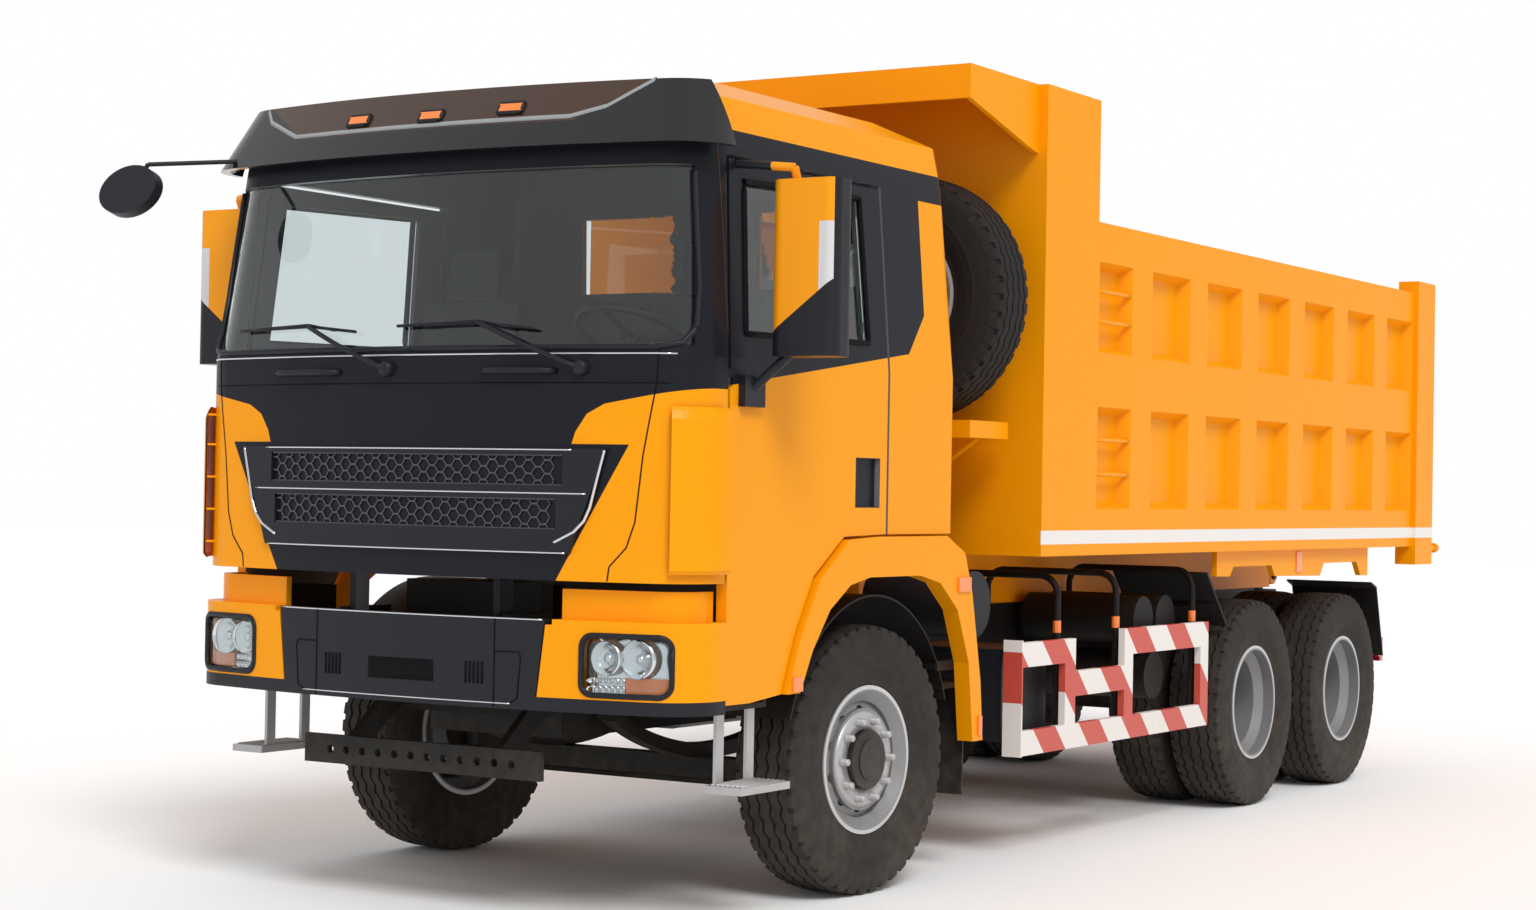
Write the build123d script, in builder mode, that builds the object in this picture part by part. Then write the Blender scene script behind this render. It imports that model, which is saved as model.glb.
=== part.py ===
from build123d import *
from math import asin, atan2, cos, degrees, hypot, radians, sin, sqrt
import os

# Three-axle tipper truck with its cab over the engine, in millimetres.
# The front faces -Y, +X is the truck's left side, and Z is 0 on the ground.

# Axles and wheels
front_axle_y = -2600
wheelbase = 3975
bogie_spread = 1350
front_track = 2045
rear_track = 1850
twin_spacing = 340
tyre_radius = 542.5
tyre_width = 300
bead_radius = 286
flange_radius = 298.5
rim_width = 250
drum_radius = 205
drum_end = -92
hub_radius = 118
hub_bore = 60
front_disc = 104
disc_plate = 12
hand_hole_count = 10
hand_hole_circle = 190
hand_hole_radius = 27
steer_rest = 5
kingpin_x = 850
kingpin_radius = 24
spindle_radius = 45

# Chassis frame
frame_width = 850
rail_top_z = 1060
rail_height = 280
rail_flange = 80
rail_thickness = 10
frame_front_y = front_axle_y - 1250
hinge_y = 3700
hinge_z = 1150
hinge_pin_radius = 30
pad_height = 15
trunnion_radius = 28

# Cab
cab_width = 2400
cab_front_y = front_axle_y - 1560
cab_rear_y = front_axle_y + 600
cab_wall = 45
cab_bottom_z = 1276
cab_rear_bottom_z = 1450
belt_z = 2100
brow_z = 2900
roof_edge_z = 3070
roof_z = 3165
screen_lean = 110
side_tuck = 65
front_bow_radius = 5000
cab_corner_radius = 230
door_front_y = front_axle_y - 1175
door_rear_y = front_axle_y + 0
door_gap = 16
door_floor_z = 830
tilt_y = front_axle_y - 1400
tilt_z = 1100

# Bumper
bumper_front_y = front_axle_y - 1570
bumper_wall = 30
bumper_low_z = 800
bumper_strip_z = 850
bumper_top_z = 1135
bumper_upper_z = 1245
bumper_step_back = 62
bumper_split_low = 600
bumper_split_high = 641
lamp_x = (790, 1130)
lamp_z = (866, 1085)

# Bed
bed_front_y = front_axle_y + 1330
bed_rear_y = front_axle_y + 6750
bed_width = 2490
bed_side = 95
bed_low_z = 1345
bed_floor_z = 1450
bed_floor_plate = 12
bed_side_top_z = 2888
bed_head_top_z = 3450
bed_head = 80
canopy_front_y = front_axle_y + 670
canopy_lip_z = 3304
canopy_plate = 24
front_post_length = 560
rear_post_length = 320
pocket_depth = 62
pocket_pitch = 687
pocket_length = 462
gate_thickness = 80

# Hoist
hoist_y = front_axle_y + 850
hoist_base_z = 1090
hoist_eye_z = 2900
stage_wall = 14
stage_gap = 1
hoist_radius = 105
hoist_stages = 3

# Clearances
seat_gap = 0.3
pin_gap = 0.1
panel_gap = 18

mid_axle_y = front_axle_y + wheelbase
rear_axle_y = mid_axle_y + bogie_spread
axle_z = tyre_radius
frame_half = frame_width / 2
rail_inner = frame_half - rail_flange
rail_bottom_z = rail_top_z - rail_height
cab_half = cab_width / 2
bed_half = bed_width / 2
bed_inner = bed_half - bed_side

os.makedirs("parts", exist_ok=True)


def block(x, y, z, mode=Mode.ADD):
    """A box between two X, two Y and two Z values, in the part being built."""
    middle = ((x[0] + x[1]) / 2, (y[0] + y[1]) / 2, (z[0] + z[1]) / 2)
    with Locations(middle):
        Box(x[1] - x[0], y[1] - y[0], z[1] - z[0], mode=mode)


def rod(start, end, radius, mode=Mode.ADD):
    """A round bar from one point to another, in the part being built."""
    run = Vector(*end) - Vector(*start)
    with BuildSketch(Plane(origin=start, z_dir=run)) as section:
        Circle(radius)
    extrude(section.sketch, amount=run.length, mode=mode)


def side_prism(outline, x, mode=Mode.ADD):
    """A side view outline of (y, z) points, made solid between two X values."""
    with BuildSketch(Plane.YZ.offset(x[0])) as section:
        with BuildLine():
            Polyline(*outline, close=True)
        make_face()
    extrude(section.sketch, amount=x[1] - x[0], mode=mode)


def front_prism(outline, y, mode=Mode.ADD):
    """A front view outline of (x, z) points, made solid between two Y values."""
    with BuildSketch(Plane.XZ.offset(-y[1])) as section:
        with BuildLine():
            Polyline(*outline, close=True)
        make_face()
    extrude(section.sketch, amount=y[1] - y[0], mode=mode)


def save(piece, name):
    """Labels a finished piece and writes it as a node of its own."""
    piece.part.label = name
    export_step(piece.part, f"parts/{name}.step")


def save_pair(piece, name):
    """Writes a left piece and its mirror image on the truck's right side."""
    save(piece, f"{name}_left")
    with BuildPart() as other:
        add(mirror(piece.part, about=Plane.YZ))
    save(other, f"{name}_right")


# Tyres and rims: profiles turned about the wheel's own axis, which points outwards
def wheel_plane(x, y, turn=0):
    """The plane across a wheel's middle, its normal out of the truck's left side."""
    outwards = (cos(radians(turn)), sin(radians(turn)), 0)
    return Plane(origin=(x, y, axle_z), x_dir=(0, 0, 1), z_dir=outwards)


def turned(plane, points, mode=Mode.ADD):
    """A closed outline of (radius, offset along the axis) points turned about the axis."""
    across = Plane(origin=plane.origin, x_dir=plane.x_dir, z_dir=plane.y_dir)
    with BuildSketch(across) as section:
        with BuildLine():
            Polyline(*[(radius, -along) for radius, along in points], close=True)
        make_face()
    revolve(section.sketch, axis=Axis(plane.origin, plane.z_dir), mode=mode)


def tyre(plane):
    """One tyre about the given plane: crown, shoulders, bulged sides, open inside."""
    half = tyre_width / 2
    tread = half - 22
    bead = rim_width / 2 - 14
    height = tyre_radius - flange_radius
    outside = [
        (flange_radius + seat_gap, bead - 24), (flange_radius + seat_gap, bead + 11),
        (flange_radius + 0.22 * height, half - 12), (flange_radius + 0.46 * height, half),
        (tyre_radius - 34, half - 8), (tyre_radius - 6, tread),
    ]
    crown = [(tyre_radius, 0.55 * tread), (tyre_radius, -0.55 * tread)]
    inside = [
        (flange_radius + seat_gap, 24 - bead), (flange_radius + 0.4 * height, 24 - half),
        (tyre_radius - 42, 40 - tread), (tyre_radius - 42, tread - 40),
        (flange_radius + 0.4 * height, half - 24),
    ]
    other_side = [(radius, -along) for radius, along in reversed(outside)]
    turned(plane, outside + crown + other_side + inside[1:])


def rim(plane, disc, landing, bore):
    """One wheel rim: a barrel whose well is on the disc's side, and a dished disc with holes."""
    edge = rim_width / 2
    well = bead_radius - 42
    way = 1 if disc > 0 else -1
    barrel = [
        (flange_radius, -edge), (flange_radius, 10 - edge), (bead_radius, 14 - edge),
        (bead_radius, 60 - edge), (well, 92 - edge), (well, edge - 40), (bead_radius, edge - 16),
        (flange_radius, edge - 12), (flange_radius, edge), (bead_radius - 10, edge),
        (well - 10, edge - 34), (well - 10, 96 - edge), (bead_radius - 10, 56 - edge),
        (bead_radius - 10, -edge),
    ]
    turned(plane, [(radius, way * along) for radius, along in barrel])
    turned(plane, [
        (bore, disc), (bore, disc - disc_plate), (145, disc - disc_plate),
        (well - 4, landing - disc_plate), (well - 4, landing), (145, disc),
    ])
    with BuildSketch(plane.offset(disc - 90)) as holes:
        with PolarLocations(hand_hole_circle, hand_hole_count):
            Circle(hand_hole_radius)
    extrude(holes.sketch, amount=180, mode=Mode.SUBTRACT)


def hub(plane, disc, flange_end, reach):
    """A hub with its flange and cap outside the disc and the brake drum inside it."""
    turned(plane, [
        (0, disc - 2), (hub_radius, disc - 2), (hub_radius, flange_end), (84, flange_end + 10),
        (84, reach), (0, reach),
    ])
    turned(plane, [
        (hub_bore, disc - 10), (hub_bore, drum_end), (drum_radius, drum_end),
        (drum_radius, disc - 10),
    ])
    turned(plane, [(0, disc - 2), (0, disc - 12), (drum_radius, disc - 12), (drum_radius, disc - 2)])


def front_plane(turn):
    """The middle plane of the left front wheel, turned about its kingpin."""
    reach = front_track / 2 - kingpin_x
    heading = radians(turn)
    x = kingpin_x + reach * cos(heading)
    return wheel_plane(x, front_axle_y + reach * sin(heading), turn)


def save_side(piece, name, side):
    """Writes a piece made on the left, or its mirror image for the right side."""
    with BuildPart() as placed:
        add(piece.part if side == "left" else mirror(piece.part, about=Plane.YZ))
    save(placed, f"{name}_{side}")


for side, turn in (("left", -steer_rest), ("right", steer_rest)):
    plane = front_plane(turn)
    with BuildPart() as front_tyre:
        tyre(plane)
    save_side(front_tyre, "tyre_front", side)
    with BuildPart() as front_rim:
        rim(plane, front_disc, 72, 0)
        hub(plane, front_disc, front_disc + 30, 150)
    save_side(front_rim, "rim_front", side)

for axle_y, name in ((mid_axle_y, "mid"), (rear_axle_y, "rear")):
    outer = wheel_plane((rear_track + twin_spacing) / 2, axle_y)
    inner = wheel_plane((rear_track - twin_spacing) / 2, axle_y)
    with BuildPart() as twin_tyres:
        tyre(outer)
        tyre(inner)
    save_pair(twin_tyres, f"tyres_{name}")
    with BuildPart() as twin_rims:
        rim(outer, disc_plate + seat_gap - twin_spacing / 2, -76, hub_radius + 3)
        rim(inner, twin_spacing / 2, 88, 0)
        hub(inner, twin_spacing / 2, twin_spacing / 2 + 80, twin_spacing / 2 + 130)
    save_pair(twin_rims, f"rims_{name}")

# Front axle: a dropped beam with an eye at each end, and the two springs on it
with BuildPart() as front_axle:
    front_prism([
        (-kingpin_x, axle_z + 50), (-kingpin_x, axle_z - 50), (-kingpin_x + 110, axle_z - 60),
        (-560, axle_z - 130), (560, axle_z - 130), (kingpin_x - 110, axle_z - 60),
        (kingpin_x, axle_z - 50), (kingpin_x, axle_z + 50), (560, axle_z - 40), (-560, axle_z - 40),
    ], (front_axle_y - 45, front_axle_y + 45))
    for x in (-kingpin_x, kingpin_x):
        rod((x, front_axle_y, axle_z - 70), (x, front_axle_y, axle_z + 70), 55)
        rod((x, front_axle_y, axle_z - 80), (x, front_axle_y, axle_z + 80),
            kingpin_radius + pin_gap, Mode.SUBTRACT)
save(front_axle, "front_axle")

# Steering knuckles: fork, kingpin, spindle and the arm that the tie rod takes
arm_reach = Vector(0, 175)
for side, turn in (("left", -steer_rest), ("right", steer_rest)):
    pivot = Plane(origin=(kingpin_x, front_axle_y, axle_z), x_dir=front_plane(turn).z_dir, z_dir=(0, 0, 1))
    wheel_side = front_track / 2 - kingpin_x
    with BuildPart(pivot) as knuckle:
        for low, high in ((71, 110), (-110, -71)):
            block((-50, 62), (-50, 50), (low, high))
        block((57, 78), (-70, 70), (-110, 110))
        with Locations((0, 0, 0)):
            Cylinder(kingpin_radius, 220)
        with Locations(Location((78, 0, 0), (0, 90, 0))):
            Cylinder(spindle_radius, wheel_side + front_disc - 12 - seat_gap - 78,
                     align=(Align.CENTER, Align.CENTER, Align.MIN))
        block((-50, 20), (30, arm_reach.Y + 30), (-150, -110))
        with Locations((arm_reach.X, arm_reach.Y, -130)):
            Cylinder(32, 40)
    save_side(knuckle, "knuckle", side)


def arm_end(turn):
    """Where the tie rod meets the left steering arm, for a wheel turned by an angle."""
    heading = radians(turn)
    x = kingpin_x + arm_reach.X * cos(heading) - arm_reach.Y * sin(heading)
    return x, front_axle_y + arm_reach.X * sin(heading) + arm_reach.Y * cos(heading)


tie_z = axle_z - 150 - seat_gap - 16
left_end = arm_end(-steer_rest)
right_end = arm_end(steer_rest)
with BuildPart() as tie_rod:
    rod((left_end[0], left_end[1], tie_z), (-right_end[0], right_end[1], tie_z), 16)
    for x, y in (left_end, (-right_end[0], right_end[1])):
        rod((x, y, tie_z - 22), (x, y, tie_z + 16), 30)
save(tie_rod, "tie_rod")


# Ladder frame: two channel rails, cross members, the bed's hinge shaft and the hoist's ears
rail_end_y = hinge_y + 40
rail_web = frame_half - rail_thickness
member_z = (rail_top_z - 130, rail_top_z - 30)
ear_x = (rail_inner - 55, rail_inner - 10)
tilt_ear_x = (frame_half - 50, frame_half - 10)
tilt_lug_x = (frame_half - 90, frame_half - 60)
tilt_pin_radius = 20
jaw_y = rail_end_y + 60
jaw_radius = 20
trunnion_x = (hoist_radius + 20, hoist_radius + 50)
member_places = (
    hoist_y - 160, hoist_y + 160, mid_axle_y - 900, mid_axle_y + bogie_spread / 2,
    rear_axle_y + 500, hinge_y - 20,
)


def both_sides(x):
    """The same stretch of X on the left and on the right, each in rising order."""
    return (min(x), max(x)), (-max(x), -min(x))


with BuildPart() as frame:
    channel = [
        (frame_half, rail_bottom_z), (frame_half, rail_top_z), (rail_inner, rail_top_z),
        (rail_inner, rail_top_z - rail_thickness), (rail_web, rail_top_z - rail_thickness),
        (rail_web, rail_bottom_z + rail_thickness), (rail_inner, rail_bottom_z + rail_thickness),
        (rail_inner, rail_bottom_z),
    ]
    for side in (1, -1):
        front_prism([(side * x, z) for x, z in channel], (frame_front_y, rail_end_y))
    for y in member_places:
        block((-rail_web, rail_web), (y - 45, y + 45), member_z)
    block((-rail_web, rail_web), (frame_front_y, frame_front_y + 70),
          (rail_bottom_z + 10, rail_bottom_z + 100))
    for ear in both_sides(ear_x):
        block(ear, (hinge_y - 50, hinge_y + 50), (member_z[0], hinge_z))
        rod((ear[0], hinge_y, hinge_z), (ear[1], hinge_y, hinge_z), 50)
    for trunnion in both_sides(trunnion_x):
        block(trunnion, (hoist_y - 160, hoist_y + 160), (member_z[0], hoist_base_z + 45))
    for pad in both_sides((rail_inner, frame_half)):
        block(pad, (bed_front_y + 60, hinge_y - 320), (rail_top_z, rail_top_z + pad_height))
    rod((-trunnion_x[1] - 1, hoist_y, hoist_base_z), (trunnion_x[1] + 1, hoist_y, hoist_base_z),
        trunnion_radius + pin_gap, Mode.SUBTRACT)
    rod((-frame_half - 10, hinge_y, hinge_z), (frame_half + 10, hinge_y, hinge_z), hinge_pin_radius)
    for x in both_sides(tilt_ear_x):
        block(x, (tilt_y - 40, tilt_y + 220), (rail_top_z - 5, tilt_z + 40))
    for x in both_sides((tilt_lug_x[0] - 5, tilt_ear_x[0] + 5)):
        rod((x[0], tilt_y, tilt_z), (x[1], tilt_y, tilt_z), tilt_pin_radius)
    for x in both_sides((rail_inner + 5, frame_half - 5)):
        block(x, (front_axle_y + 420, front_axle_y + 500), (rail_top_z - 5, cab_rear_bottom_z - seat_gap))
    block((-60, 60), (hinge_y - 20, jaw_y + 40), (member_z[0], member_z[1] - 10))
    block((-61, 61), (rail_end_y + 15, jaw_y + 41), (member_z[0] + 25, member_z[1] - 35), Mode.SUBTRACT)
    rod((0, jaw_y, member_z[0] - 1), (0, jaw_y, member_z[1]), jaw_radius, Mode.SUBTRACT)
save(frame, "frame")

# Leaf springs: two packs on the front beam, two long packs that rock over the bogie
front_spring_reach = 760
spring_x = (rail_inner + 5, frame_half - 5)
with BuildPart() as springs:
    beam_top = axle_z - 40
    for x in both_sides(spring_x):
        with BuildSketch(Plane.YZ.offset(x[0])) as pack:
            with BuildLine():
                y = front_axle_y
                reach = front_spring_reach
                lower = ThreePointArc((y - reach, 700), (y, beam_top + seat_gap), (y + reach, 700))
                upper = ThreePointArc((y - reach, 745), (y, beam_top + 62), (y + reach, 745))
                Line(lower @ 0, upper @ 0)
                Line(lower @ 1, upper @ 1)
            make_face()
        extrude(pack.sketch, amount=x[1] - x[0])
        for end in (-reach, reach):
            block(x, (y + end - 22, y + end + 22), (700, rail_bottom_z - seat_gap))
        bogie_y = mid_axle_y + bogie_spread / 2
        half = bogie_spread / 2
        with BuildSketch(Plane.YZ.offset(x[0])) as pack:
            with BuildLine():
                lower = ThreePointArc((bogie_y - half, 632), (bogie_y, 690), (bogie_y + half, 632))
                upper = ThreePointArc((bogie_y - half, 682), (bogie_y, 772), (bogie_y + half, 682))
                Line(lower @ 0, upper @ 0)
                Line(lower @ 1, upper @ 1)
            make_face()
        extrude(pack.sketch, amount=x[1] - x[0])
        block(x, (bogie_y - 110, bogie_y + 110), (540, 700))
    for x in both_sides((rail_inner - 60, frame_half + 25)):
        rod((x[0], bogie_y, 590), (x[1], bogie_y, 590), 48)
    for x in both_sides((rail_inner - 45, rail_inner - 5)):
        block(x, (bogie_y - 90, bogie_y + 90), (545, member_z[0] - seat_gap))
save(springs, "leaf_springs")

# Drive line: two axle housings with their differentials, and the shafts that turn them
spindle_end = (rear_track - twin_spacing) / 2 + twin_spacing / 2 - disc_plate - seat_gap
housing_end = (rear_track - twin_spacing) / 2 + drum_end - 12
shaft_radius = 42
gearbox_end_y = front_axle_y + 600
gearbox_z = 850
with BuildPart() as drive_axles:
    for y in (mid_axle_y, rear_axle_y):
        rod((-housing_end, y, axle_z), (housing_end, y, axle_z), 80)
        rod((-spindle_end, y, axle_z), (spindle_end, y, axle_z), hub_bore - 6)
        with Locations((0, y, axle_z)):
            Sphere(185)
        for x in both_sides(spring_x):
            block(x, (y - 60, y + 60), (axle_z, 632 - seat_gap))
    rod((0, gearbox_end_y + seat_gap, gearbox_z), (0, gearbox_end_y + 30, gearbox_z), 75)
    rod((0, gearbox_end_y + 15, gearbox_z), (0, mid_axle_y, axle_z + 60), shaft_radius)
    rod((0, mid_axle_y, axle_z + 60), (0, rear_axle_y, axle_z + 60), shaft_radius)
save(drive_axles, "drive_axles")

# Engine and gearbox as plain blocks between the rails, with the radiator ahead of them
with BuildPart() as engine:
    block((-325, 325), (front_axle_y - 980, front_axle_y + 280), (640, 1235))
    block((-190, 190), (front_axle_y + 280, gearbox_end_y), (700, 1040))
    for y in (front_axle_y - 800, front_axle_y + 160):
        block((seat_gap - rail_web, rail_web - seat_gap), (y - 40, y + 40), (830, 900))
    block((-330, 330), (front_axle_y - 1140, front_axle_y - 1060), (730, 1245))
    block((seat_gap - rail_web, rail_web - seat_gap), (front_axle_y - 1125, front_axle_y - 1075),
          (820, 870))
save(engine, "engine")


# Front bumper: plan outlines that bow at the front and turn round the cab's corners
def plan(z, front_y, half, rear_y, corner, rear_corner=0):
    """A plan outline at a height: bowed front edge, straight sides, rounded corners."""
    bow = front_bow_radius - sqrt(front_bow_radius ** 2 - half ** 2)
    with BuildSketch(Plane.XY.offset(z)) as section:
        with BuildLine():
            ThreePointArc((-half, front_y + bow), (0, front_y), (half, front_y + bow))
            Polyline((half, front_y + bow), (half, rear_y), (-half, rear_y), (-half, front_y + bow))
        make_face()
        fillet(section.vertices().sort_by(Axis.Y)[:2], corner)
        if rear_corner:
            fillet(section.vertices().sort_by(Axis.Y)[-2:], rear_corner)
    return section.sketch


bumper_half = cab_half + 15
bumper_rear_y = door_front_y - panel_gap


def bumper_band(inset, wall, z):
    """Adds a band of the bumper: its outline moved in, a wall's thickness, between two Z."""
    outside = plan(z[0], bumper_front_y + inset, bumper_half - inset, bumper_rear_y,
                   cab_corner_radius - inset)
    inside = plan(z[0], bumper_front_y + inset + wall, bumper_half - inset - wall,
                  bumper_rear_y + wall, cab_corner_radius - inset - wall)
    extrude(outside - inside, amount=z[1] - z[0])


def lamp_prism(edge, mode):
    """Both headlamp outlines, moved in by an edge, through the bumper's corners."""
    with BuildSketch(Plane.XZ.offset(1300 - front_axle_y)) as outline:
        for side in (1, -1):
            with Locations((side * (lamp_x[0] + lamp_x[1]) / 2, (lamp_z[0] + lamp_z[1]) / 2)):
                RectangleRounded(lamp_x[1] - lamp_x[0] - 2 * edge,
                                 lamp_z[1] - lamp_z[0] - 2 * edge, 45 - edge)
    extrude(outline.sketch, amount=400, mode=mode)


with BuildPart() as bumper_lower:
    bumper_band(0, bumper_wall, (bumper_strip_z, bumper_top_z))
centre_edge = [
    (-bumper_split_low, bumper_low_z - 10), (-bumper_split_high, bumper_top_z + 10),
    (bumper_split_high, bumper_top_z + 10), (bumper_split_low, bumper_low_z - 10),
]
bumper_y = (bumper_front_y - 50, bumper_rear_y + 100)
with BuildPart() as bumper_centre:
    add(bumper_lower.part)
    front_prism(centre_edge, bumper_y, Mode.INTERSECT)
    bumper_band(0, bumper_wall, (bumper_low_z, bumper_strip_z))
    for x in both_sides((rail_inner, frame_half)):
        block(x, (bumper_front_y + 20, frame_front_y - seat_gap), (rail_bottom_z + 30, rail_top_z - 30))
save(bumper_centre, "bumper_centre")
wide_edge = [(x + (6 if x > 0 else -6), z) for x, z in centre_edge]
with BuildPart() as bumper_ends:
    bumper_band(0, bumper_wall, (bumper_strip_z + seat_gap, bumper_top_z))
    bumper_band(0, bumper_step_back + bumper_wall, (bumper_top_z - 18, bumper_top_z))
    bumper_band(bumper_step_back, bumper_wall, (bumper_top_z, bumper_upper_z))
    front_prism(wide_edge, bumper_y, Mode.SUBTRACT)
    block((-bumper_split_high - 30, bumper_split_high + 30), bumper_y,
          (bumper_top_z - 20, bumper_upper_z + 10), Mode.SUBTRACT)
    lamp_prism(0, Mode.SUBTRACT)
save(bumper_ends, "bumper_ends")
with BuildPart() as headlamps:
    bumper_band(10, 60, (lamp_z[0], lamp_z[1]))
    lamp_prism(seat_gap, Mode.INTERSECT)
save(headlamps, "headlamps")

# Under-run beam below the bumper, with its row of holes and two hangers from the rails
beam_z = (530, 640)
with BuildPart() as under_run_beam:
    block((-570, 570), (front_axle_y - 1450, front_axle_y - 1420), beam_z)
    for x in both_sides((rail_inner, rail_inner + 30)):
        side_prism([
            (front_axle_y - 1420, beam_z[0]), (front_axle_y - 1420, beam_z[1]),
            (frame_front_y, rail_bottom_z - seat_gap), (frame_front_y + 150, rail_bottom_z - seat_gap),
        ], x)
    with BuildSketch(Plane.XZ.offset(1400 - front_axle_y)) as holes:
        with Locations((0, sum(beam_z) / 2)):
            with GridLocations(80, 1, 12, 1):
                Circle(16)
    extrude(holes.sketch, amount=100, mode=Mode.SUBTRACT)
save(under_run_beam, "under_run_beam")

# Steps that hang below the doors, on two legs each
step_y = (front_axle_y - 1130, front_axle_y - 790)
well_low_z = 800
with BuildPart() as steps:
    for x in both_sides((1090, 1250)):
        block(x, step_y, (500, 528))
    for x in both_sides((1098, 1112)):
        for y in (step_y[0] + 40, step_y[1] - 90):
            block(x, (y, y + 50), (520, well_low_z - seat_gap))
save(steps, "steps")

# Front wheel arches: the yellow band round each wheel, below the cab's side
arch_x = (1150, 1222)
arch_outer = [
    (838, 565), (810, 823), (722, 1200), (652, 1368), (488, 1441), (-80, 1441), (-324, 1430),
    (-545, 1277), (-685, 1052), (-773, 850),
]
arch_inner = [
    (-680, 850), (-590, 1010), (-465, 1160), (-310, 1252), (-156, 1280), (258, 1280), (433, 1246),
    (590, 1130), (700, 900), (745, 565),
]
with BuildPart() as wheel_arches:
    for x in both_sides(arch_x):
        side_prism([(front_axle_y + y, z) for y, z in arch_outer + arch_inner], x)
save(wheel_arches, "wheel_arches")

# Mudguards: liners over the front wheels, step wells, and flaps round the bogie
liner_radius = 655
liner_x = (760, arch_x[0] - seat_gap)
well_x = (1000, 1138)
with BuildPart() as mudguards:
    for x in both_sides(liner_x):
        with BuildSketch(Plane(origin=(x[0], front_axle_y, axle_z), x_dir=(0, 1, 0), z_dir=(1, 0, 0))) as liner:
            Circle(liner_radius + 8)
            Circle(liner_radius, mode=Mode.SUBTRACT)
            with Locations((0, -400)):
                Rectangle(1400, 1200, mode=Mode.SUBTRACT)
        extrude(liner.sketch, amount=x[1] - x[0])
    stay_y = 560
    stay_z = axle_z + sqrt((liner_radius + 4) ** 2 - stay_y ** 2)
    for side in (1, -1):
        for y in (-stay_y, stay_y):
            rod((side * (frame_half + seat_gap), front_axle_y + y, stay_z),
                (side * (liner_x[1] - 5), front_axle_y + y, stay_z), 18)
        rod((side * (frame_half + seat_gap), front_axle_y - 1060, well_low_z + 50),
            (side * (well_x[0] + 5), front_axle_y - 1060, well_low_z + 50), 25)
        rod((side * (frame_half + 3), mid_axle_y - 520, 1000),
            (side * 1200, mid_axle_y - 520, 1081), 20)
        for y in ((-700, -550), (550, 760)):
            block(sorted((side * (liner_x[1] - 40), side * liner_x[1])),
                  (front_axle_y + y[0], front_axle_y + y[1]), (870, 910))
        rod((side * (frame_half + seat_gap), rear_axle_y + 615, 1000),
            (side * 1200, rear_axle_y + 615, 1000), 20)
    for x in both_sides(well_x):
        block(x, (door_front_y + 10, front_axle_y - 790), (well_low_z, 1190))
    for x in both_sides((well_x[0] + 20, well_x[1])):
        block(x, (door_front_y + 30, front_axle_y - 810), (well_low_z + 20, 985), Mode.SUBTRACT)
        block(x, (door_front_y + 30, front_axle_y - 810), (1005, 1170), Mode.SUBTRACT)
    for x in both_sides((900, liner_x[1])):
        block(x, (front_axle_y + 790, front_axle_y + 802), (330, 820))
        block(x, (front_axle_y + 600, front_axle_y + 795), (792, 815))
    for x in both_sides((700, 1222)):
        side_prism([
            (mid_axle_y - 665, 1240), (mid_axle_y - 400, 966), (mid_axle_y - 408, 958),
            (mid_axle_y - 677, 1232),
        ], x)
        side_prism([
            (rear_axle_y + 470, 1130), (rear_axle_y + 560, 1100), (rear_axle_y + 690, 700),
            (rear_axle_y + 702, 702), (rear_axle_y + 570, 1110), (rear_axle_y + 476, 1140),
        ], x)
save(mudguards, "mudguards")

# Side boxes and tanks between the axles
box_x = (500, 1110)
tank_lug = (frame_half + seat_gap, box_x[0] + 20)
with BuildPart() as battery_box:
    block(box_x, (front_axle_y + 1230, front_axle_y + 1680), (520, 930))
    block(tank_lug, (front_axle_y + 1300, front_axle_y + 1600), (800, 920))
save(battery_box, "battery_box")
with BuildPart() as fuel_tank:
    block((-box_x[1], -box_x[0]), (front_axle_y + 1130, front_axle_y + 2290), (480, 1000))
    fillet(fuel_tank.edges().filter_by(Axis.Y), 80)
    for y in (1300, 2000):
        block((-tank_lug[1], -tank_lug[0]), (front_axle_y + y, front_axle_y + y + 120), (800, 920))
save(fuel_tank, "fuel_tank")
tank_radius = 118
with BuildPart() as air_tanks:
    for y, z in ((2800, 1010), (3070, 1010), (2935, 730)):
        rod((480, front_axle_y + y, z), (1095, front_axle_y + y, z), tank_radius)
    block(tank_lug, (front_axle_y + 2750, front_axle_y + 3120), (800, 1040))
save(air_tanks, "air_tanks")
with BuildPart() as air_cleaner:
    rod((560, front_axle_y + 1080, 1130), (1050, front_axle_y + 1080, 1130), 148)
    block((frame_half + seat_gap, 570), (front_axle_y + 1030, front_axle_y + 1130), (1000, 1050))
save(air_cleaner, "air_cleaner")

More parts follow.
